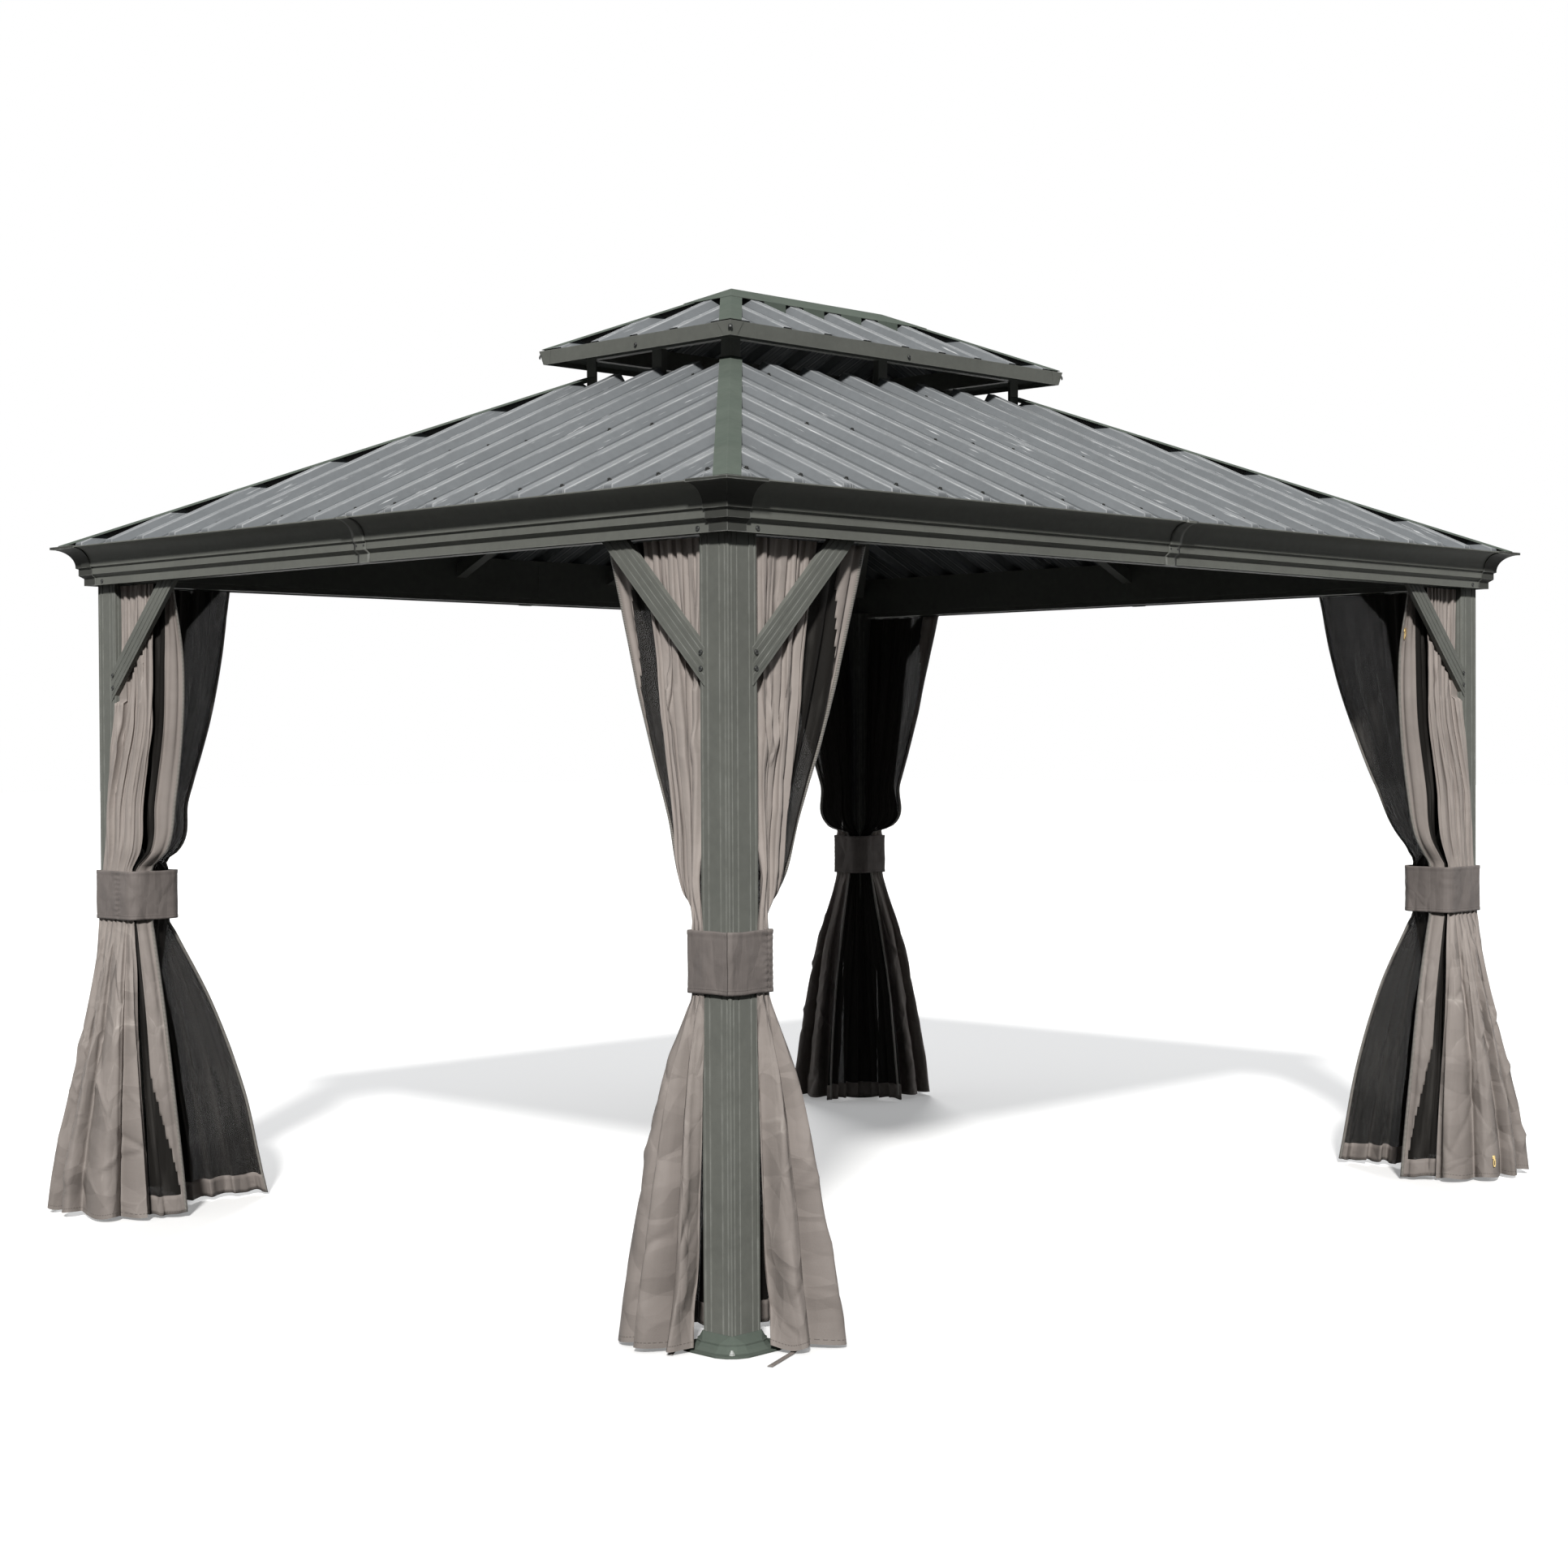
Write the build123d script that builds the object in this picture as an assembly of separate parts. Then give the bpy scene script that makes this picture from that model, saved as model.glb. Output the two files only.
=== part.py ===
from build123d import *
from math import acos, atan2, cos, degrees, radians, sin, sqrt, tan
import os

# Overall plan over the eave lips, clear height under the eaves, and clearances
LENGTH = 3650.0
WIDTH = 2960.0
CLEAR_HEIGHT = 1910.0
ROOF_PITCH = 24.0
SEAT_GAP = 0.3
OVERRUN = 40.0

# Posts: square fluted tubes, inset from the eave lip
POST = 96.0
POST_INSET = 101.0
POST_WALL = 2.5
POST_EDGE = 2.0
FLUTE_FROM_EDGE = 10.0
FLUTE_SPACING = 18.0
FLUTE_WIDTH = 5.0
FLUTE_DEPTH = 1.6

# Feet: anchored plates with a flared skirt round the post
FOOT_FLANGE = 58.0
FOOT_CUT = 40.0
FOOT_PLATE = 5.0
SKIRT_FLARE = 41.0
SKIRT_CUT = 41.0
SKIRT_TOP_CUT = 31.0
RIM_CUT = 3.5
EASE_share = 0.37
SKIRT_FLARE_IN = 9.0
SKIRT_FLARE_HIGH = 6.0
SKIRT_COVE_IN = 6.0
SKIRT_COVE_HIGH = 8.0
SKIRT_STEP_HIGH = 4.0
SKIRT_SLOPE_HIGH = 17.0
SKIRT_WALL = 3.0
ANCHOR_FROM_EDGE = 32.0
ANCHOR_HOLE_R = 4.5

# Eave beams: crown mouldings with a gutter and a hollow box behind
LIP = 3.0
LIP_NOSE = 1.0
LIP_TOP = 12.0
COVE = 54.5
COVE_FOOT = 2.5
BAND_SOFFIT = 6.5
BAND_SOFFIT_HIGH = 3.0
UPPER_BAND = 20.0
BAND_STEP = 12.0
BAND_STEP_HIGH = 9.0
LOWER_BAND = 24.0
BAND_WALL = 4.0
BAND_DROP = 20.0
GUTTER_WALL = 2.5
GUTTER_BACK_share = 0.4
BOX_WALL = 4.0
BOX_LEDGE = 8.0
SPLICE_GAP = 1.0
MITRE_GAP = 0.6

# Corner covers: bent mouldings over the mitres
COVER_REACH = 135.0
COVER_WALL = 2.0

# Knee braces: fluted channels at 45 degrees between post and beam
BRACE_DROP = 357.0
BRACE_CUT = 89.0
BRACE_LAP = 17.0
BRACE_WEB = 2.5
BRACE_DEPTH = 14.0
BRACE_FLANGE = 4.0
BRACE_BEAD = 8.0
BRACE_BEAD_HIGH = 1.2
BRACE_BEAD_shares = (0.16, 0.43, 0.70)

# Curtain rails: double tracks under the beams, between the posts
RAIL_CLEAR = 3.5
RAIL_WIDE = 32.0
RAIL_HIGH = 18.0
RAIL_WALL = 2.5
RAIL_SLOT = 4.0
RAIL_END_GAP = 1.0
RAIL_BEAM_LAP = 2.0

# Roof sheets: trapezoid ribs running up the slope
SHEET_BELOW_LIP = 24.0
SHEET_LIP_GAP = 28.0
SHEET = 0.8
RIB_PITCH = 172.5
RIB_BASE = 72.0
RIB_TOP = 32.0
RIB_HIGH = 24.0
PANEL_RIBS = 5
PANEL_SEAM_share = 0.34
PANEL_SEAM_GAP = 0.6
HIP_SHEET_GAP = 8.0

# Hip and ridge caps: bent strips riding on the rib tops
CAP = 1.5
HIP_CAP_WING = 33.0
HIP_CAP_LIP_GAP = 4.0
RIDGE_CAP_WING = 104.0
RIDGE_CAP_LAP = 40.0
RIDGE_TAB_GAP = 4.0
RIDGE_TAB_LIFT = 5.0

# Lower roof frame
RAFTER = 40.0
RAFTER_WALL = 2.0
PURLIN = 25.0
PURLIN_WALL = 1.6

# Vent between the two roofs
RING_WIDE = 55.0
RING_HIGH = 76.0
RING_SHEET_LAP = 26.0
RING_WALL = 2.5
STRUT_SHEET_GAP = 4.0
STRUT_HIGH = 94.0
STRUT = 40.0
STRUT_DEPTH = 22.0
STRUT_WALL = 3.0

# Upper roof
UPPER_WIDTH = 833.0
UPPER_OVERHANG = 97.5
UPPER_RING = 25.0
UPPER_RING_WALL = 2.0
UPPER_RING_HIGH = 48.5
UPPER_RAFTER = 25.0
RIDGE_GAP = 6.0
RIDGE_BAR = 30.0
TRIM_ABOVE_SHEET = 25.0
TRIM_HIGH = 41.0
TRIM_LEAN = 9.0
TRIM_WALL = 2.0
TRIM_LEDGE = 26.0
TRIM_SHEET_IN = 9.0
PLATE_WALL = 1.5
PLATE_TOP = 52.0
PLATE_BOTTOM = 34.0

# Curtains and nets: drops below the rail, with the reach past the post and the depth at each
CLOTH_DROPS = (410.0, 660.0)
CLOTH_REACHES = (375.0, 245.0, 145.0)
CURTAIN_DEEP = (17.0, 34.0, 46.0)
NET_DEEP = (17.0, 20.0, 22.0)
NET_EXTRA = 12.0
WAIST_WIDE = 37.0
CURTAIN_WAIST_DEEP = 68.0
NET_WAIST_DEEP = 26.0
CLOTH_GAP = 2.0
SIDE_GAP = 1.5
POST_FACE_GAP = 1.0
HEM_LEVEL = 10.0
CURTAIN_HEM_NEAR = 43.0
CURTAIN_HEM_FAR = 153.0
CURTAIN_HEM_OUT = 159.0
CURTAIN_HEM_BACK = 81.0
NET_HEM_NEAR = 103.0
NET_HEM_FAR = 223.0
NET_HEM_OUT = 85.0
NET_HEM_BACK = 185.0

# Tie bands round post and gathered cloth, at their own level on each corner
TIE_HIGH = 148.0
TIE_WALL = 2.0
TIE_CORNER = 3.0
TIE_FRONT_LEFT = 908.0
TIE_FRONT_RIGHT = 930.0
TIE_BACK_RIGHT = 968.0
TIE_BACK_LEFT = 965.0

# Levels and insets that follow from the sizes above
SLOPE = tan(radians(ROOF_PITCH))
STEEP = 1 / cos(radians(ROOF_PITCH))
FASCIA_BOTTOM = CLEAR_HEIGHT
BEAM_SEAT = FASCIA_BOTTOM + BAND_DROP
LOWER_BAND_TOP = FASCIA_BOTTOM + LOWER_BAND
UPPER_BAND_LOW = LOWER_BAND_TOP + BAND_STEP_HIGH
UPPER_BAND_TOP = UPPER_BAND_LOW + UPPER_BAND
COVE_LOW = UPPER_BAND_TOP + BAND_SOFFIT_HIGH
COVE_Z = COVE_LOW + COVE_FOOT
EAVE_TOP = COVE_Z + COVE + LIP
COVE_END = LIP_NOSE + COVE
UPPER_BAND_IN = COVE_END + BAND_SOFFIT
LOWER_BAND_IN = UPPER_BAND_IN + BAND_STEP
POST_END = POST_INSET + POST
POST_MID = POST_INSET + POST / 2
RAIL_OUT = POST_INSET - BRACE_WEB + BRACE_DEPTH + RAIL_CLEAR
RAIL_IN = RAIL_OUT + RAIL_WIDE
RAIL_LOW = BEAM_SEAT - RAIL_HIGH
BEAM_INNER = RAIL_IN + RAIL_BEAM_LAP
GUTTER_BACK = GUTTER_BACK_share * BEAM_INNER
SHEET_EDGE_IN = LIP_TOP + SHEET_LIP_GAP
HIP_CAP_EDGE_IN = LIP_TOP + HIP_CAP_LIP_GAP
SPREAD = LENGTH - WIDTH
UPPER_LENGTH = UPPER_WIDTH + SPREAD
UPPER_EDGE_IN = (WIDTH - UPPER_WIDTH) / 2
VENT_IN = UPPER_EDGE_IN + UPPER_OVERHANG
RING_OUT = VENT_IN - RING_SHEET_LAP
RING_IN = RING_OUT + RING_WIDE
STRUT_OUT = VENT_IN + STRUT_SHEET_GAP
PURLIN_IN = (BEAM_INNER + RING_OUT) / 2
RIB_RISE = (RIB_HIGH + SHEET) * STEEP
STRUT_LOW = EAVE_TOP - SHEET_BELOW_LIP + (RING_OUT - LIP_TOP) * SLOPE - SEAT_GAP
UPPER_RING_LOW = STRUT_LOW + STRUT_HIGH
UPPER_SHEET_Z = UPPER_RING_LOW + UPPER_RING_HIGH - (STRUT_OUT - UPPER_EDGE_IN) * SLOPE
TRIM_TOP = UPPER_SHEET_Z + TRIM_ABOVE_SHEET
TRIM_BOTTOM = TRIM_TOP - TRIM_HIGH
CUT_LOW = FASCIA_BOTTOM - OVERRUN
CUT_HIGH = UPPER_SHEET_Z + UPPER_WIDTH / 2 * SLOPE + RIB_RISE + OVERRUN
UP = (0, 0, 1)
RUNS = {"front": LENGTH / 2, "right": WIDTH / 2, "back": LENGTH / 2, "left": WIDTH / 2}
SIDE_TURNS = {"front": 0, "right": 90, "back": 180, "left": 270}
CORNER_TURNS = {"front_left": 0, "front_right": 90, "back_right": 180, "back_left": 270}
CORNER_SIGNS = {"front_left": (-1, -1), "front_right": (1, -1), "back_right": (1, 1), "back_left": (-1, 1)}
SIDE_SIGNS = {"front": (0, -1), "right": (1, 0), "back": (0, 1), "left": (-1, 0)}
TIE_LEVELS = {
    "front_left": TIE_FRONT_LEFT,
    "front_right": TIE_FRONT_RIGHT,
    "back_right": TIE_BACK_RIGHT,
    "back_left": TIE_BACK_LEFT,
}


def side_place(side, length=LENGTH, width=WIDTH):
    """Frame of a side: x along it, y inward from its edge, z up."""
    sx, sy = SIDE_SIGNS[side]
    return Location((sx * length / 2, sy * width / 2, 0), (0, 0, SIDE_TURNS[side]))


def corner_place(corner):
    """Frame of a corner: x and y inward along the two eaves from the lip corner."""
    sx, sy = CORNER_SIGNS[corner]
    return Location((sx * LENGTH / 2, sy * WIDTH / 2, 0), (0, 0, CORNER_TURNS[corner]))


def swapped(shape):
    """The same shape mirrored across a corner's diagonal."""
    return mirror(shape, about=Plane(origin=(0, 0, 0), x_dir=(1, 1, 0), z_dir=(1, -1, 0)))


def flat(points):
    """A face from a closed polygon."""
    return make_face(Polyline(*points, close=True))


def prism(points, low, high):
    """An upright prism over a plan polygon."""
    return extrude(Pos(0, 0, low) * flat(points), amount=high - low, dir=UP)


def along(section, start, end):
    """A section drawn as (inward, height) and carried along a side."""
    return extrude(Pos(start, 0, 0) * (Plane.YZ * section), amount=end - start, dir=(1, 0, 0))


def sheet_z(inward):
    """Underside of the lower roof sheet in its valleys."""
    return EAVE_TOP - SHEET_BELOW_LIP + (inward - LIP_TOP) * SLOPE


def upper_z(inward):
    """Underside of the upper roof sheet in its valleys, measured from the upper edge."""
    return UPPER_SHEET_Z + inward * SLOPE


def solids_of(shape):
    return list(shape.solids())


def post():
    half = POST / 2
    edge = []
    outer = half - FLUTE_FROM_EDGE
    inner = outer - FLUTE_SPACING
    for centre in (0 - outer, 0 - inner, inner, outer):
        edge.append((centre - FLUTE_WIDTH / 2, 0))
        edge.append((centre - FLUTE_WIDTH / 4, FLUTE_DEPTH))
        edge.append((centre + FLUTE_WIDTH / 4, FLUTE_DEPTH))
        edge.append((centre + FLUTE_WIDTH / 2, 0))
    edge = [(POST_EDGE - half, 0)] + edge + [(half - POST_EDGE, 0)]
    points = []
    for turn in range(4):
        c, s = ((1, 0), (0, 1), (-1, 0), (0, -1))[turn]
        for x, deep in edge:
            y = deep - half
            points.append((x * c - y * s, x * s + y * c))
    bore = POST - 2 * (POST_WALL + FLUTE_DEPTH)
    ring = flat(points) - Rectangle(bore, bore)
    return extrude(Pos(POST_MID, POST_MID, FOOT_PLATE) * ring, amount=BEAM_SEAT - FOOT_PLATE, dir=UP)


def eased_square(size, cut):
    """Square face whose corners are cut, and the corners of the cuts eased again."""
    square = chamfer(Rectangle(size, size).vertices(), cut)
    return chamfer(square.vertices(), cut * EASE_share)


def plane_sided(lower, upper):
    """Solid with plane sides between two level outlines whose edges are parallel in turn."""
    low = sorted(lower.vertices(), key=lambda corner: atan2(corner.Y, corner.X))
    high = sorted(upper.vertices(), key=lambda corner: atan2(corner.Y, corner.X))
    sides = []
    for k, corner in enumerate(low):
        outline = Polyline(high[k - 1], low[k - 1], corner, high[k], close=True)
        sides.append(make_face(outline))
    return Solid(Shell(sides + [lower.face(), upper.face()]))


def foot():
    """Anchored plate with cut corners under a skirt of two tapers, a step and a sloped top."""
    plate = POST + 2 * FOOT_FLANGE
    flare = POST + 2 * SKIRT_FLARE
    step = flare - 2 * (SKIRT_FLARE_IN + SKIRT_COVE_IN)
    well = POST + 2 * SEAT_GAP
    neck_z = FOOT_PLATE + SKIRT_FLARE_HIGH
    step_z = neck_z + SKIRT_COVE_HIGH
    slope_z = step_z + SKIRT_STEP_HIGH
    flare_taper = degrees(atan2(SKIRT_FLARE_IN, SKIRT_FLARE_HIGH))
    cove_taper = degrees(atan2(SKIRT_COVE_IN, SKIRT_COVE_HIGH))
    rim = well + 2 * SKIRT_WALL
    body = extrude(eased_square(plate, FOOT_CUT), amount=FOOT_PLATE)
    lower = extrude(Pos(0, 0, FOOT_PLATE) * eased_square(flare, SKIRT_CUT), amount=SKIRT_FLARE_HIGH,
                    taper=flare_taper)
    middle = extrude(lower.faces().sort_by(Axis.Z)[-1], amount=SKIRT_COVE_HIGH, taper=cove_taper)
    upper = extrude(middle.faces().sort_by(Axis.Z)[-1], amount=SKIRT_STEP_HIGH)
    body += [lower, middle, upper]
    room = eased_square(step - 2 * SKIRT_WALL, SKIRT_TOP_CUT)
    neck = Pos(0, 0, slope_z + SKIRT_SLOPE_HIGH) * eased_square(rim, RIM_CUT)
    body += plane_sided(Pos(0, 0, slope_z) * room, neck)
    body -= extrude(Pos(0, 0, FOOT_PLATE) * room, amount=slope_z - FOOT_PLATE - SKIRT_WALL)
    body -= extrude(Pos(0, 0, FOOT_PLATE) * Rectangle(well, well), amount=slope_z + SKIRT_SLOPE_HIGH)
    half = plate / 2 - ANCHOR_FROM_EDGE
    for x, y in ((-half, -half), (half, -half), (half, half), (-half, half)):
        body -= Pos(x, y, FOOT_PLATE / 2) * Cylinder(ANCHOR_HOLE_R, 2 * FOOT_PLATE)
    return Pos(POST_MID, POST_MID, 0) * body


def moulding_front():
    """Outer line of the eave moulding from the lip down to the lower band."""
    arc = CenterArc((LIP_NOSE, COVE_Z), COVE, 0, 90)
    top = Polyline((0, EAVE_TOP), (0, EAVE_TOP - LIP), (LIP_NOSE, EAVE_TOP - LIP))
    low = Polyline(
        (COVE_END, COVE_Z),
        (COVE_END, COVE_LOW),
        (UPPER_BAND_IN, UPPER_BAND_TOP),
        (UPPER_BAND_IN, UPPER_BAND_LOW),
        (LOWER_BAND_IN, LOWER_BAND_TOP),
        (LOWER_BAND_IN, FASCIA_BOTTOM),
    )
    return top, arc, low


def deck_z(inward):
    return sheet_z(inward) - SEAT_GAP


def beam_section():
    top, arc, low = moulding_front()
    band_in = LOWER_BAND_IN + BAND_WALL
    bend = COVE + GUTTER_WALL
    floor_in = LIP_NOSE + bend / sqrt(2)
    floor_z = COVE_Z + bend / sqrt(2)
    lip_turn = degrees(acos((LIP_TOP - LIP_NOSE) / bend))
    lip_z = COVE_Z + bend * sin(radians(lip_turn))
    rest = Polyline(
        (LOWER_BAND_IN, FASCIA_BOTTOM),
        (band_in, FASCIA_BOTTOM),
        (band_in, BEAM_SEAT),
        (BEAM_INNER, BEAM_SEAT),
        (BEAM_INNER, deck_z(BEAM_INNER)),
        (GUTTER_BACK, deck_z(GUTTER_BACK)),
        (GUTTER_BACK, floor_z),
        (floor_in, floor_z),
    )
    gutter = CenterArc((LIP_NOSE, COVE_Z), bend, 45, lip_turn - 45)
    lip = Polyline((LIP_TOP, lip_z), (LIP_TOP, EAVE_TOP), (0, EAVE_TOP))
    left = UPPER_BAND_IN + BOX_WALL
    right = BEAM_INNER - BOX_WALL
    room = flat([
        (band_in + BOX_WALL, BEAM_SEAT + BOX_WALL),
        (right, BEAM_SEAT + BOX_WALL),
        (right, deck_z(right) - BOX_WALL),
        (left, deck_z(left) - BOX_WALL),
        (left, UPPER_BAND_LOW + BOX_LEDGE),
        (band_in + BOX_WALL, LOWER_BAND_TOP + BOX_LEDGE),
    ])
    return make_face(top + arc + low + rest + gutter + lip) - room


def half_beam(run):
    end = run - MITRE_GAP / 2
    bar = along(beam_section(), SPLICE_GAP / 2, run)
    depth = BEAM_INNER
    plan = [(0, 0), (end, 0), (end - depth, depth), (0, depth)]
    return bar & prism(plan, CUT_LOW, CUT_HIGH)


def corner_cover():
    """Thin moulding over the mitre of two beams: the front line moved outward twice."""

    def line(d, top_z):
        arc = CenterArc((LIP_NOSE - d, COVE_Z - d), COVE, 0, 90)
        head = Polyline((0 - d, top_z), (0 - d, EAVE_TOP - LIP - d), (LIP_NOSE - d, EAVE_TOP - LIP - d))
        tail = Polyline(
            (COVE_END - d, COVE_Z - d),
            (COVE_END - d, COVE_LOW - d),
            (UPPER_BAND_IN - d, UPPER_BAND_TOP - d),
            (UPPER_BAND_IN - d, UPPER_BAND_LOW - d),
            (LOWER_BAND_IN - d, LOWER_BAND_TOP - d),
            (LOWER_BAND_IN - d, FASCIA_BOTTOM),
        )
        return head + arc + tail

    lap = SEAT_GAP + COVER_WALL
    seat_z = EAVE_TOP + SEAT_GAP
    top_z = EAVE_TOP + lap
    foot_line = Line((LOWER_BAND_IN - lap, FASCIA_BOTTOM), (LOWER_BAND_IN - SEAT_GAP, FASCIA_BOTTOM))
    brow = Polyline((0 - SEAT_GAP, seat_z), (LIP_TOP, seat_z), (LIP_TOP, top_z), (0 - lap, top_z))
    shell = make_face(line(lap, top_z) + foot_line + line(SEAT_GAP, seat_z) + brow)
    leg = along(shell, 0 - lap, COVER_REACH)
    wedge = [(0 - lap, 0 - lap), (COVER_REACH, 0 - lap), (COVER_REACH, COVER_REACH)]
    leg &= prism(wedge, CUT_LOW, CUT_HIGH)
    return leg + swapped(leg)


def brace():
    """One knee brace in a corner frame, along the x eave."""
    start = POST_END - BRACE_LAP
    out = POST_INSET - BRACE_WEB

    def strip(from_share, to_share, first):
        z0 = BEAM_SEAT - BRACE_DROP + (first - POST_END)
        z_low = z0 + BRACE_CUT * from_share
        z_high = z0 + BRACE_CUT * to_share
        return flat([
            (first, z_low), (first + BEAM_SEAT - z_low, BEAM_SEAT),
            (first + BEAM_SEAT - z_high, BEAM_SEAT), (first, z_high),
        ])

    def slab(face, b_low, b_high):
        return extrude(Plane(origin=(0, b_high, 0), x_dir=(1, 0, 0), z_dir=(0, -1, 0)) * face,
                       amount=b_high - b_low, dir=(0, -1, 0))

    body = slab(strip(0, 1, start), out, POST_INSET)
    lip = BRACE_FLANGE / BRACE_CUT * sqrt(2)
    clear = POST_END + SEAT_GAP
    body += slab(strip(0, lip, clear), POST_INSET, out + BRACE_DEPTH)
    body += slab(strip(1 - lip, 1, clear), POST_INSET, out + BRACE_DEPTH)
    wide = BRACE_BEAD / BRACE_CUT * sqrt(2)
    for share in BRACE_BEAD_shares:
        body += slab(strip(share, share + wide, start), out - BRACE_BEAD_HIGH, out)
    return body


def rail(run):
    reach = run - POST_END - RAIL_END_GAP
    high = BEAM_SEAT - RAIL_LOW
    section = flat([(RAIL_OUT, RAIL_LOW), (RAIL_IN, RAIL_LOW), (RAIL_IN, BEAM_SEAT), (RAIL_OUT, BEAM_SEAT)])
    track = (RAIL_IN - RAIL_OUT - 3 * RAIL_WALL) / 2
    for index in range(2):
        centre = RAIL_OUT + RAIL_WALL + track / 2 + index * (track + RAIL_WALL)
        section -= Pos(centre, RAIL_LOW + high / 2) * Rectangle(track, high - 2 * RAIL_WALL)
        section -= Pos(centre, RAIL_LOW) * Rectangle(RAIL_SLOT, 3 * RAIL_WALL)
    return along(section, 0 - reach, reach)


def rib_line(first, last):
    """Points of the ribbed top line between two places along the eave, as (along, height)."""
    rise = STEEP
    shapes = []
    count = int(max(abs(first), abs(last)) / RIB_PITCH) + 2
    for k in range(-count, count + 1):
        centre = k * RIB_PITCH
        shapes += [(centre - RIB_BASE / 2, 0), (centre - RIB_TOP / 2, RIB_HIGH * rise),
                   (centre + RIB_TOP / 2, RIB_HIGH * rise), (centre + RIB_BASE / 2, 0)]

    def height(s):
        for (s0, z0), (s1, z1) in zip(shapes, shapes[1:]):
            if s0 <= s <= s1:
                return z0 + (z1 - z0) * (s - s0) / (s1 - s0)
        return 0

    inner = [p for p in shapes if first < p[0] < last]
    return [(first, height(first))] + inner + [(last, height(last))]


def roof_panel(first, last, run, low_in, high_in, z_of):
    """One ribbed panel of a roof face, cut to the hips on both sides."""
    thick = SHEET * STEEP
    line = rib_line(first, last)
    base = z_of(low_in)
    points = [(s, base + z + thick) for s, z in line]
    points += [(s, base + z) for s, z in reversed(line)]
    face = Plane(origin=(0, low_in, 0), x_dir=(1, 0, 0), z_dir=(0, -1, 0)) * flat(points)
    way = (0, cos(radians(ROOF_PITCH)), sin(radians(ROOF_PITCH)))
    sheet = extrude(face, amount=(high_in - low_in) / way[1], dir=way)
    low_half = run - low_in - HIP_SHEET_GAP
    high_half = run - high_in - HIP_SHEET_GAP
    plan = [(0 - low_half, low_in), (low_half, low_in), (high_half, high_in), (0 - high_half, high_in)]
    return sheet & prism(plan, CUT_LOW, CUT_HIGH)


def roof_face(run, low_in, high_in, z_of):
    """All panels of one roof face, meeting beside every few ribs out from the middle one."""
    half = run - low_in
    count = int(half / RIB_PITCH / PANEL_RIBS - PANEL_SEAM_share)
    marks = [(k * PANEL_RIBS + PANEL_SEAM_share) * RIB_PITCH for k in range(-count, count + 1)]
    edges = [0 - half] + marks + [half]
    panels = []
    for first, last in zip(edges, edges[1:]):
        a = first if first == edges[0] else first + PANEL_SEAM_GAP / 2
        b = last if last == edges[-1] else last - PANEL_SEAM_GAP / 2
        panels += solids_of(roof_panel(a, b, run, low_in, high_in, z_of))
    return panels


def sloped(points, z_of, lift, thick):
    """A plate over a plan polygon, parallel to the roof slope."""
    face = make_face(Polyline(*[(s, u, z_of(u) + lift) for s, u in points], close=True))
    return extrude(face, amount=thick, dir=UP)


def hip_wing(low_in, high_in, z_of, lift):
    """Half of a hip cap in the corner frame, on the side of the x eave."""
    wide = HIP_CAP_WING * sqrt(2)
    points = [(low_in, low_in), (high_in, high_in), (high_in + wide, high_in), (low_in + wide, low_in)]
    return sloped(points, z_of, lift, CAP * STEEP)


def hip_cap(low_in, high_in, z_of, lift):
    wing = hip_wing(low_in, high_in, z_of, lift)
    return wing + swapped(wing)


def tube_section(width, height, wall):
    return Rectangle(width, height) - Rectangle(width - 2 * wall, height - 2 * wall)


def sloped_tube(low_in, high_in, z_of, drop, size, wall, place):
    """A rafter running up a side at its middle, cut plumb at both ends."""
    rise = STEEP
    section = tube_section(size, size * rise, wall)
    mid = z_of(low_in) - drop - size * rise / 2
    face = Plane(origin=(place, low_in, mid), x_dir=(1, 0, 0), z_dir=(0, -1, 0)) * section
    way = (0, cos(radians(ROOF_PITCH)), sin(radians(ROOF_PITCH)))
    return extrude(face, amount=(high_in - low_in) / way[1], dir=way)


def hip_tube(low_in, high_in, z_of, drop, size, wall):
    """A hip rafter in the corner frame, along the diagonal, cut plumb at both ends."""
    slope = SLOPE / sqrt(2)
    rise = sqrt(1 + slope * slope)
    section = tube_section(size, size * rise, wall)
    mid = z_of(low_in) - drop - size * rise / 2
    face = Plane(origin=(low_in, low_in, mid), x_dir=(1, -1, 0), z_dir=(-1, -1, 0)) * section
    way = (1 / sqrt(2), 1 / sqrt(2), slope)
    run = (high_in - low_in) * sqrt(2)
    return extrude(face, amount=run * rise, dir=way)


def purlin(run):
    """A level tube across one roof face at mid slope, mitred at the hips."""
    tilt = Rot(0, 0, ROOF_PITCH) * tube_section(PURLIN, PURLIN, PURLIN_WALL)
    deep = PURLIN / 2 * STEEP
    section = Pos(PURLIN_IN, sheet_z(PURLIN_IN) - SEAT_GAP - deep) * tilt
    bar = along(section, 0 - run, run)
    low = PURLIN_IN - PURLIN
    high = PURLIN_IN + PURLIN
    low_half = run - low - MITRE_GAP
    high_half = run - high - MITRE_GAP
    plan = [(0 - low_half, low), (low_half, low), (high_half, high), (0 - high_half, high)]
    return bar & prism(plan, CUT_LOW, CUT_HIGH)


def ring_bar(run, section, outer, inner):
    """One bar of a level ring, mitred at its ends."""
    bar = along(section, 0 - run, run)
    low_half = run - outer - MITRE_GAP
    high_half = run - inner - MITRE_GAP
    plan = [(0 - low_half, outer), (low_half, outer), (high_half, inner), (0 - high_half, inner)]
    return bar & prism(plan, CUT_LOW, CUT_HIGH)


def vent_section():
    top = STRUT_LOW
    box = tube_section(RING_IN - RING_OUT, RING_HIGH, RING_WALL)
    return Pos((RING_IN + RING_OUT) / 2, top - RING_HIGH / 2) * box


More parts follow.
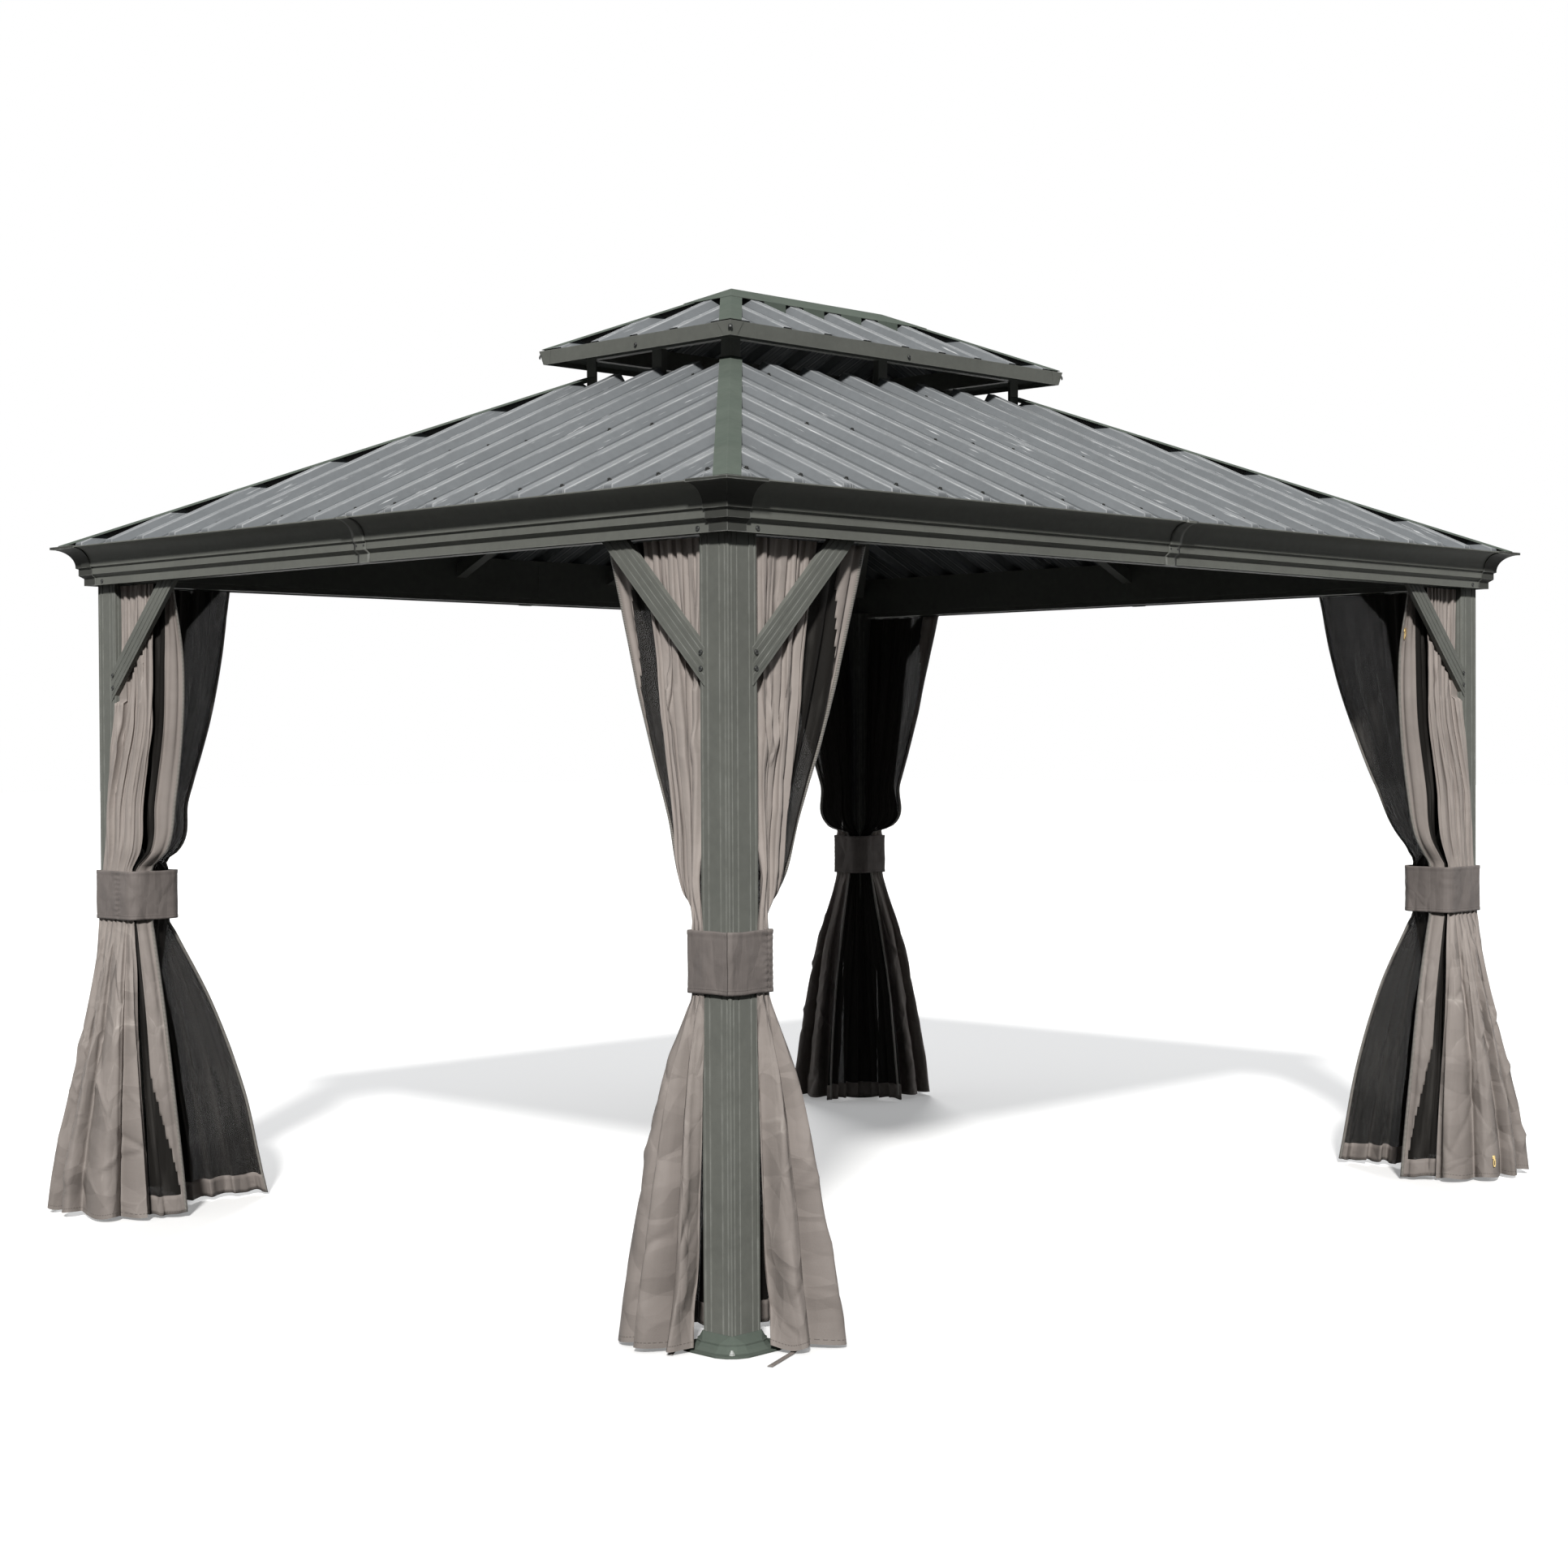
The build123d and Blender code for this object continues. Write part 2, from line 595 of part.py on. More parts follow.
def upper_ring_section():
    first = STRUT_OUT
    last = STRUT_OUT + UPPER_RING
    w = UPPER_RING_WALL

    def top(u):
        return upper_z(u - UPPER_EDGE_IN) - SEAT_GAP

    outer = flat([(first, UPPER_RING_LOW), (last, UPPER_RING_LOW), (last, top(last)), (first, top(first))])
    room = flat([(first + w, UPPER_RING_LOW + w), (last - w, UPPER_RING_LOW + w),
                 (last - w, top(last - w) - w), (first + w, top(first + w) - w)])
    return outer - room


def struts():
    """Upright brackets between the rings: angles at the corners, channels at mid side."""
    low = STRUT_LOW
    high = UPPER_RING_LOW
    shapes = []
    w = STRUT_WALL
    first = STRUT_OUT
    for corner in CORNER_TURNS:
        angle = [(first, first), (first + STRUT, first), (first + STRUT, first + w), (first + w, first + w),
                 (first + w, first + STRUT), (first, first + STRUT)]
        shapes.append(prism(angle, low, high).moved(corner_place(corner)))
    for side in RUNS:
        h = STRUT / 2
        deep = STRUT_DEPTH
        plan = [(0 - h, first), (h, first), (h, first + deep), (h - w, first + deep), (h - w, first + w),
                (w - h, first + w), (w - h, first + deep), (0 - h, first + deep)]
        shapes.append(prism(plan, low, high).moved(side_place(side)))
    return shapes


def trim(run):
    """Edge trim of one upper roof side, with a ledge under the sheet."""
    ledge_in = TRIM_SHEET_IN + TRIM_LEDGE
    seat_in = upper_z(ledge_in) - SEAT_GAP

    def back(z):
        return TRIM_LEAN * (TRIM_TOP - z) / (TRIM_TOP - TRIM_BOTTOM) + TRIM_WALL

    seat = upper_z(TRIM_SHEET_IN) - SEAT_GAP
    section = flat([
        (0, TRIM_TOP), (TRIM_LEAN, TRIM_BOTTOM), (back(TRIM_BOTTOM), TRIM_BOTTOM),
        (back(seat - TRIM_WALL), seat - TRIM_WALL), (ledge_in, seat_in - TRIM_WALL), (ledge_in, seat_in),
        (TRIM_SHEET_IN, seat), (back(seat), seat), (back(TRIM_TOP), TRIM_TOP),
    ])
    bar = along(section, 0 - run, run)
    low_half = run - MITRE_GAP
    high_half = run - ledge_in - MITRE_GAP
    plan = [(0 - low_half, 0), (low_half, 0), (high_half, ledge_in), (0 - high_half, ledge_in)]
    return bar & prism(plan, CUT_LOW, CUT_HIGH)


def corner_plate():
    """Bent plate with slanted ends over the meeting of two upper trims, in the upper corner's frame."""
    lap = PLATE_WALL + SEAT_GAP
    section = flat([
        (0 - lap, TRIM_TOP),
        (TRIM_LEAN - lap, TRIM_BOTTOM),
        (TRIM_LEAN - SEAT_GAP, TRIM_BOTTOM),
        (0 - SEAT_GAP, TRIM_TOP),
    ])
    wing = along(section, 0 - lap, PLATE_TOP)
    wing &= prism([(0 - lap, 0 - lap), (PLATE_TOP, 0 - lap), (PLATE_TOP, PLATE_TOP)], CUT_LOW, CUT_HIGH)
    cut = flat([(0 - OVERRUN, TRIM_BOTTOM), (PLATE_BOTTOM, TRIM_BOTTOM),
                (PLATE_TOP, TRIM_TOP), (0 - OVERRUN, TRIM_TOP)])
    slab = extrude(Plane(origin=(0, PLATE_TOP, 0), x_dir=(1, 0, 0), z_dir=(0, -1, 0)) * cut,
                   amount=2 * PLATE_TOP, dir=(0, -1, 0))
    wing &= slab
    return wing + swapped(wing)


def ridge_cap():
    """Hipped cap over the ridge with tabs folded down into the valleys."""
    lift = RIB_RISE + SEAT_GAP + CAP * STEEP + SEAT_GAP
    thick = CAP * STEEP
    top_in = UPPER_WIDTH / 2
    edge_in = top_in - RIDGE_CAP_WING
    body = None
    for side in RUNS:
        run = (UPPER_LENGTH if side in ("front", "back") else UPPER_WIDTH) / 2
        low_half = run - edge_in
        high_half = run - top_in
        points = [(0 - low_half, edge_in), (low_half, edge_in)]
        points += [(high_half, top_in), (0 - high_half, top_in)] if high_half > CAP else [(0, top_in)]
        wing = sloped(points, upper_z, lift, thick)
        tab_low = upper_z(edge_in) + SHEET + RIDGE_TAB_LIFT
        tab_high = upper_z(edge_in) + lift + thick / 2
        wide = RIB_PITCH - RIB_BASE - 2 * RIDGE_TAB_GAP
        count = int(low_half / RIB_PITCH) + 1
        clear = low_half - HIP_CAP_WING * sqrt(2) - RIDGE_TAB_GAP
        for k in range(-count, count):
            centre = (k + 1 / 2) * RIB_PITCH
            left = max(centre - wide / 2, 0 - clear)
            right = min(centre + wide / 2, clear)
            if right - left > RIB_TOP:
                tab = [(left, edge_in), (right, edge_in), (right, edge_in + CAP), (left, edge_in + CAP)]
                wing += prism(tab, tab_low, tab_high)
        placed = wing.moved(side_place(side, UPPER_LENGTH, UPPER_WIDTH))
        body = placed if body is None else body + placed
    return body


def quads(rows):
    """A closed body with flat sides through level oblongs given as (level, points)."""
    rings = [[Vector(x, y, level) for x, y in points] for level, points in rows]
    faces = [Face(Wire.make_polygon(rings[0])), Face(Wire.make_polygon(rings[-1]))]
    for high, low in zip(rings, rings[1:]):
        for k in range(4):
            n = (k + 1) % 4
            faces.append(Face(Wire.make_polygon([high[k], high[n], low[n], low[k]])))
    return Solid(Shell(faces))


def box_of(near, far, out, back):
    return [(near, out), (far, out), (far, back), (near, back)]


def cloth_wing(level, is_net):
    """Upper and lower bodies of one gathered wing beside the post, in a corner frame."""
    near = POST_END + SIDE_GAP
    extra = NET_EXTRA if is_net else 0
    outs = [RAIL_OUT - CLOTH_GAP] * 3
    waist_out = POST_INSET + POST_FACE_GAP
    deeps = CURTAIN_DEEP
    waist_deep = CURTAIN_WAIST_DEEP
    hem = box_of(POST_END + CURTAIN_HEM_NEAR, POST_END + CURTAIN_HEM_FAR,
                 POST_INSET - CURTAIN_HEM_OUT, POST_INSET + CURTAIN_HEM_BACK)
    if is_net:
        outs = [out + deep + CLOTH_GAP for out, deep in zip(outs, CURTAIN_DEEP)]
        waist_out += CURTAIN_WAIST_DEEP + CLOTH_GAP
        deeps = NET_DEEP
        waist_deep = NET_WAIST_DEEP
        hem = box_of(POST_END + NET_HEM_NEAR, POST_END + NET_HEM_FAR,
                     POST_INSET + NET_HEM_OUT, POST_INSET + NET_HEM_BACK)
    waist = box_of(near, POST_END + WAIST_WIDE, waist_out, waist_out + waist_deep)
    top = RAIL_LOW - SEAT_GAP
    levels = [top, top - CLOTH_DROPS[0], top - CLOTH_DROPS[1]]
    rows = []
    for z, reach, out, deep in zip(levels, CLOTH_REACHES, outs, deeps):
        rows.append((z, box_of(near, POST_END + reach + extra, out, out + deep)))
    rows += [(level + TIE_HIGH / 2, waist), (level + CLOTH_GAP / 2, waist)]
    lower = [(level - CLOTH_GAP / 2, waist), (level - TIE_HIGH / 2, waist), (HEM_LEVEL, hem)]
    return quads(rows), quads(lower)


def cloth(level, is_net):
    upper, lower = cloth_wing(level, is_net)
    return [upper, lower, swapped(upper), swapped(lower)]


def tie_band(level):
    """A flat band round the post and the gathered cloth, in a corner frame."""
    near = POST_INSET - SEAT_GAP
    far = POST_END + WAIST_WIDE + SEAT_GAP
    turn = POST_END + TIE_CORNER

    def outline(d):
        return [(near - d, near - d), (far + d, near - d), (far + d, turn + d / 2),
                (turn + d / 2, far + d), (near - d, far + d)]

    low = level - TIE_HIGH / 2
    high = level + TIE_HIGH / 2
    return prism(outline(TIE_WALL), low, high) - prism(outline(0), low, high)


def save(name, shapes):
    os.makedirs("parts", exist_ok=True)
    solids = []
    for shape in shapes:
        solids += solids_of(shape)
    body = solids[0] if len(solids) == 1 else Compound(children=solids)
    body.label = name
    export_step(body, os.path.join("parts", name + ".step"))


def corners_of(shape):
    return [shape.moved(corner_place(corner)) for corner in CORNER_TURNS]


def upper_corners_of(shape):
    """Copies of a shape built in an upper corner's frame."""
    places = []
    for corner, turn in CORNER_TURNS.items():
        sx, sy = CORNER_SIGNS[corner]
        places.append(Location((sx * UPPER_LENGTH / 2, sy * UPPER_WIDTH / 2, 0), (0, 0, turn)))
    return [shape.moved(place) for place in places]


def build_frame():
    one_post = post()
    one_foot = foot()
    for corner in CORNER_TURNS:
        save("post_" + corner, [one_post.moved(corner_place(corner))])
        save("foot_" + corner, [one_foot.moved(corner_place(corner))])
    rails = []
    for side, run in RUNS.items():
        half = half_beam(run)
        place = side_place(side)
        save("eave_beam_" + side, [half.moved(place), mirror(half, about=Plane.YZ).moved(place)])
        rails.append(rail(run).moved(place))
    save("curtain_rails", rails)
    save("corner_covers", corners_of(corner_cover()))
    one_brace = brace()
    save("knee_braces", corners_of(one_brace) + corners_of(swapped(one_brace)))


def build_lower_roof():
    drop = SEAT_GAP + PURLIN * STEEP + SEAT_GAP
    rafters = []
    purlins = []
    ring = []
    for side, run in RUNS.items():
        is_long = side in ("front", "back")
        place = side_place(side)
        panels = roof_face(run, SHEET_EDGE_IN, VENT_IN, sheet_z)
        save("lower_roof_" + side, [panel.moved(place) for panel in panels])
        places = (0 - SPREAD / 2, SPREAD / 2) if is_long else (0,)
        for s in places:
            bar = sloped_tube(BEAM_INNER + SEAT_GAP, RING_OUT - SEAT_GAP, sheet_z, drop, RAFTER,
                              RAFTER_WALL, s)
            rafters.append(bar.moved(place))
        purlins.append(purlin(run).moved(place))
        ring.append(ring_bar(run, vent_section(), RING_OUT, RING_IN).moved(place))
    save("lower_rafters", rafters)
    save("lower_purlins", purlins)
    save("vent_ring", ring)
    save("vent_struts", struts())
    side_drop = RAFTER / 2 / sqrt(2) * SLOPE
    low = BEAM_INNER + RAFTER / 2 / sqrt(2) + SEAT_GAP
    hip = hip_tube(low, RING_OUT - SEAT_GAP, sheet_z, drop + side_drop, RAFTER, RAFTER_WALL)
    save("lower_hip_rafters", corners_of(hip))
    cap = hip_cap(HIP_CAP_EDGE_IN, VENT_IN, sheet_z, RIB_RISE + SEAT_GAP)
    save("lower_hip_caps", corners_of(cap))


def build_upper_roof():
    ring = []
    trims = []
    top_in = UPPER_WIDTH / 2
    for side in RUNS:
        is_long = side in ("front", "back")
        run = (UPPER_LENGTH if is_long else UPPER_WIDTH) / 2
        place = side_place(side, UPPER_LENGTH, UPPER_WIDTH)
        high = top_in - RIDGE_GAP if is_long else top_in - HIP_SHEET_GAP - RIDGE_GAP
        panels = roof_face(run, TRIM_SHEET_IN, high, upper_z)
        save("upper_roof_" + side, [panel.moved(place) for panel in panels])
        trims.append(trim(run).moved(place))
        bar = ring_bar(RUNS[side], upper_ring_section(), STRUT_OUT, STRUT_OUT + UPPER_RING)
        ring.append(bar.moved(side_place(side)))
    save("upper_ring", ring)
    save("upper_edge_trims", trims)
    save("upper_corner_plates", upper_corners_of(corner_plate()))
    drop = UPPER_RAFTER / 2 / sqrt(2) * SLOPE + SEAT_GAP
    low = STRUT_OUT - UPPER_EDGE_IN + UPPER_RING + UPPER_RAFTER / 2 / sqrt(2) + SEAT_GAP
    high = top_in - UPPER_RAFTER / 2
    hips = upper_corners_of(hip_tube(low, high, upper_z, drop, UPPER_RAFTER, RAFTER_WALL))
    bar_drop = UPPER_RAFTER / 2 * SLOPE + SEAT_GAP
    bar_half = SPREAD / 2
    bar_z = upper_z(top_in) - bar_drop - RIDGE_BAR / 2
    section = Pos(0, bar_z) * tube_section(UPPER_RAFTER, RIDGE_BAR, RAFTER_WALL)
    save("upper_rafters", hips + [along(section, 0 - bar_half, bar_half)])
    cap = hip_cap(HIP_CAP_LIP_GAP, top_in - RIDGE_CAP_WING + RIDGE_CAP_LAP, upper_z, RIB_RISE + SEAT_GAP)
    save("upper_hip_caps", upper_corners_of(cap))
    save("upper_ridge_cap", [ridge_cap()])


def build_cloth():
    bands = []
    for corner, level in TIE_LEVELS.items():
        place = corner_place(corner)
        save("curtain_" + corner, [wing.moved(place) for wing in cloth(level, False)])
        save("net_" + corner, [wing.moved(place) for wing in cloth(level, True)])
        bands.append(tie_band(level).moved(place))
    save("tie_bands", bands)


build_frame()
build_lower_roof()
build_upper_roof()
build_cloth()
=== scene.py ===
import math

import bpy
import numpy as np
from bpy.props import FloatProperty, FloatVectorProperty, IntProperty, PointerProperty
from mathutils import Matrix, Vector


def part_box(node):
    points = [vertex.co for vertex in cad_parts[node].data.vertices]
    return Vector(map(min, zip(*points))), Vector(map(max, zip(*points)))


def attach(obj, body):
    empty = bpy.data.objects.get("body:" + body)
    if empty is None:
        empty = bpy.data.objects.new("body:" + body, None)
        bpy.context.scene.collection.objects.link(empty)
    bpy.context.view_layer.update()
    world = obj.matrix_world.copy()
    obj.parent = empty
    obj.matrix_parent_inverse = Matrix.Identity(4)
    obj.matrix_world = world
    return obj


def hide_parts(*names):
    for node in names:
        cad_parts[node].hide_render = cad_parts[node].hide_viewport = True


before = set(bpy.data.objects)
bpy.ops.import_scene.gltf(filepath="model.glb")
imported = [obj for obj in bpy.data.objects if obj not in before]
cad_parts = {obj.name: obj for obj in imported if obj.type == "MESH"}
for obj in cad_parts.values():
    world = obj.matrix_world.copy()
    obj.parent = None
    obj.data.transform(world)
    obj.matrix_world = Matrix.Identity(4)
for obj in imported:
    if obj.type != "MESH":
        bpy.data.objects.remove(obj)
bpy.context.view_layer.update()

bl_info = {
    "name": "Hardtop garden gazebo",
    "version": (1, 0, 0),
    "blender": (4, 5, 0),
    "location": "View3D > Sidebar > Gazebo",
    "description": "Coatings, fasteners, curtains and nets for a two-tier hardtop gazebo",
    "category": "Object",
}

PHOTO_SIZE, PHOTO_FOCAL = 1932, 3133.27

# Half plans of the two roofs over their lips, and their ribbed sheets, whose low edges lie in from the lips
EAVE_X, EAVE_Y = 1.825, 1.48
UPPER_X, UPPER_Y = 0.7615, 0.4165
ROOF_PITCH = math.radians(24)
SLOPE = math.tan(ROOF_PITCH)
RIB_PITCH, RIB_HIGH = 0.1725, 0.024
SHEET = 0.0008
SHEET_RISE = SHEET / math.cos(ROOF_PITCH)
LOWER_EDGE, UPPER_EDGE = 0.040, 0.010

# Faces that cloth stays off, in from a lip corner: the post's, the foot's and the knee brace's
POST_NEAR, POST_FAR = 0.0990, 0.1985
FOOT_OUT, FOOT_IN, FOOT_TOP, FOOT_ROOM = 0.058, 0.240, 0.03, 0.003
BRACE_LOW, BRACE_IN = 1.555, 0.1145
DEPTH_KEPT = 0.004  # share of its depth that a pushed point keeps, so that points stay apart

# Sides: turn in degrees, then half run and depth of the lower and of the upper roof
LONG, SHORT = (EAVE_X, EAVE_Y, UPPER_X, UPPER_Y), (EAVE_Y, EAVE_X, UPPER_Y, UPPER_X)
SIDES = {"front": (0, *LONG), "right": (90, *SHORT), "back": (180, *LONG), "left": (270, *SHORT)}
CORNERS = {"front_left": (-EAVE_X, -EAVE_Y, 0), "front_right": (EAVE_X, -EAVE_Y, 90),
           "back_right": (EAVE_X, EAVE_Y, 180), "back_left": (-EAVE_X, EAVE_Y, 270)}
SIGNS = [(x, y) for x in (-1, 1) for y in (-1, 1)]
COATS = (("Roof sheet coat", ("lower_roof_", "upper_roof_")),
         ("Cap powder coat", ("foot_", "lower_hip_caps", "upper_hip_caps", "upper_ridge_cap")),
         ("Cover powder coat", ("corner_covers",)),
         ("Frame powder coat", ("post_", "eave_beam_", "knee_braces", "curtain_rails", "vent_", "lower_rafters",
                                "lower_hip_rafters", "lower_purlins", "upper_ring", "upper_rafters",
                                "upper_edge_trims", "upper_corner_plates")))


# Settings

def colour(name, description, default):
    return FloatVectorProperty(name=name, description=description, subtype="COLOR", size=3, min=0, max=1,
                               default=default)


def length(name, description, default):
    return FloatProperty(name=name, description=description, unit="LENGTH", default=default)


def strength(name, description, default):
    return FloatProperty(name=name, description=description, default=default)


def angle(name, description, degrees):
    return FloatProperty(name=name, description=description, subtype="ANGLE", default=math.radians(degrees))


class FinishSettings(bpy.types.PropertyGroup):
    """Colours of the coatings, the cloth and the fittings."""
    frame_coat: colour("Frame coat", "Powder coat of posts, beams and trims", (0.162, 0.168, 0.152))
    cover_coat: colour("Cover coat", "Coat of the covers over the eave corners", (0.066, 0.068, 0.062))
    cap_coat: colour("Cap coat", "Coat of the hip and ridge caps", (0.105, 0.126, 0.108))
    roof_coat: colour("Roof coat", "Coat of the ribbed roof sheets", (0.162, 0.173, 0.182))
    curtain: colour("Curtain cloth", "Taupe curtain cloth", (0.345, 0.306, 0.283))
    band: colour("Band cloth", "Cloth of the tie bands", (0.235, 0.208, 0.196))
    net: colour("Net thread", "Thread of the mosquito nets", (0.013, 0.012, 0.011))
    screw: colour("Screw", "Black screws and washers", (0.018, 0.019, 0.018))
    # Near-black strips under the hip caps: painted shade
    hip_shade: colour("Closure foam", "Foam strips under the hip caps", (0.016, 0.016, 0.016))
    zinc: colour("Anchor bolt", "Zinc of the anchor bolts", (0.42, 0.43, 0.42))
    brass: colour("Zip pull", "Brass of the zip pulls", (0.62, 0.45, 0.20))


class ClothSettings(bpy.types.PropertyGroup):
    """Sizes of the curtains, nets and tie bands."""
    top: length("Top", "Level of the top edge under the rail", 1.906)
    hem: length("Hem", "Level of the hem over the ground", 0.013)
    band_high: length("Band height", "Height of a tie band", 0.148)
    border: length("Net border", "Width of the cloth border along a net", 0.052)
    net_hem: length("Net hem", "Height of the cloth hem under a net", 0.062)
    across: IntProperty(name="Columns", description="Mesh columns across a wing", default=120, min=20, max=300)
    down: IntProperty(name="Rows", description="Mesh rows down a wing", default=250, min=20, max=300)


class FastenerSettings(bpy.types.PropertyGroup):
    """Sizes of the screws and bolts."""
    roof_washer: length("Roof washer", "Radius of a roof screw's washer", 0.0072)
    bolt_head: length("Bolt head", "Radius of a frame bolt's head", 0.0064)
    eave_row: length("Eave row", "Inset of the eave row of screws from the lip", 0.158)
    middle_row: length("Middle row", "Inset of the middle row of screws from the lip", 0.62)


class StageSettings(bpy.types.PropertyGroup):
    """Floor, light and camera."""
    floor: colour("Floor", "Colour of the floor", (0.80, 0.80, 0.80))
    key: strength("Key", "Strength of the key light", 4.2)
    fill: strength("Fill", "Strength of the light from behind", 2.2)
    sky: strength("Sky", "Strength of the even light from overhead", 0.46)
    horizon: strength("Horizon", "Strength of the even light from the sides", 0.015)
    lens: FloatProperty(name="Lens", description="Focal length for a 36 mm wide picture", subtype="DISTANCE_CAMERA",
                        default=36 * PHOTO_FOCAL / PHOTO_SIZE)
    eye: FloatVectorProperty(name="Eye", description="Place of the camera", subtype="TRANSLATION", size=3,
                             default=(-5.8593, -5.5818, 1.4313))
    heading: angle("Heading", "Direction of view from +X", 44.2234)
    tilt: angle("Tilt", "Upward tilt of the view", -1.025)
    roll: angle("Roll", "Roll of the view", -0.2977)


# Meshes

def grid_faces(rows, columns, close=False):
    """Quads of a grid of points, whose rows can close into rings."""
    return [(i * columns + j, i * columns + (j + 1) % columns,
             (i + 1) * columns + (j + 1) % columns, (i + 1) * columns + j)
            for i in range(rows - 1) for j in range(columns if close else columns - 1)]


class Shell:
    """Points and faces of a piece, added strip by strip."""

    def __init__(self):
        self.verts, self.faces = [], []

    def strip(self, points, columns, close=False, capped=False):
        """Rows of points joined into a grid; the rows can be rings, and the end rings capped."""
        start, rows = len(self.verts), len(points) // columns
        faces = grid_faces(rows, columns, close)
        if capped:
            faces += [range(columns)[::-1], range((rows - 1) * columns, rows * columns)]
        self.verts += list(points)
        self.faces += [tuple(start + i for i in face) for face in faces]
        return self


def sheet_of(points, close=False):
    """Shell of an array of points by rows and columns."""
    return Shell().strip(points.reshape(-1, 3), points.shape[1], close)


def material(name):
    found = bpy.data.materials.get(name)
    if found is None:
        raise RuntimeError(f"the finish {name} isn't there yet: run Coatings first")
    return found


def new_piece(name, shell, finish, uv=None, sharp=None):
    """A smooth mesh object that rides on the frame, with its finish and an optional UV for each point."""
    mesh = bpy.data.meshes.new(name)
    mesh.from_pydata([tuple(v) for v in shell.verts], [], shell.faces)
    if uv is not None:
        layer = mesh.uv_layers.new(name="UVMap")
        loops = np.zeros(len(mesh.loops), dtype=np.int32)
        mesh.loops.foreach_get("vertex_index", loops)
        layer.data.foreach_set("uv", np.asarray(uv, dtype=np.float32)[loops].ravel())
    mesh.polygons.foreach_set("use_smooth", [True] * len(mesh.polygons))
    if sharp is not None:
        mesh.set_sharp_from_angle(angle=math.radians(sharp))
    mesh.materials.append(material(finish))
    mesh.update()
    piece = bpy.data.objects.new(name, mesh)
    bpy.context.scene.collection.objects.link(piece)
    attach(piece, "root")
    return piece


def thickened(piece, thick):
    """Gives an open sheet a small real thickness."""
    solid = piece.modifiers.new("Thickness", "SOLIDIFY")
    solid.thickness = thick
    solid.offset = 0
    shown = bpy.context.evaluated_depsgraph_get()
    mesh = bpy.data.meshes.new_from_object(piece.evaluated_get(shown))
    piece.modifiers.clear()
    piece.data = mesh


def turned(x, y, degrees):
    """Plan point turned about the origin."""
    c, s = math.cos(math.radians(degrees)), math.sin(math.radians(degrees))
    return x * c - y * s, x * s + y * c


def side_way(side, along, inward, up):
    """Direction of a side's own frame in the common frame."""
    return Vector((*turned(along, inward, SIDES[side][0]), up))


def on_side(side, along, inward, z):
    """Point of a side's own frame, measured in from its lower lip, in the common frame."""
    return side_way(side, along, inward - SIDES[side][2], z)


def to_world(corner, swap, grid):
    """Points of a corner's own frame, a and b inward along its two eaves, in the common frame."""
    a, b = (grid[..., 1], grid[..., 0]) if swap else (grid[..., 0], grid[..., 1])
    ox, oy, degrees = CORNERS[corner]
    x, y = turned(a, b, degrees)
    return np.stack([ox + x, oy + y, grid[..., 2]], axis=-1)


def bearing(heading, height):
    """Direction at a heading from +X and a height, both in radians."""
    return Vector((math.cos(heading) * math.cos(height), math.sin(heading) * math.cos(height), math.sin(height)))


def lathed(spots, profile, sides=12):
    """Round heads with one profile of (radius, height), each at a point and facing its normal."""
    shell = Shell()
    ring = [(math.cos(2 * math.pi * k / sides), math.sin(2 * math.pi * k / sides)) for k in range(sides)]
    for point, normal in spots:
        turn = Vector((0, 0, 1)).rotation_difference(Vector(normal)).to_matrix()
        shell.strip([Vector(point) + turn @ Vector((radius * c, radius * s, height))
                     for radius, height in profile for c, s in ring], sides, True, True)
    return shell


# Shader nodes

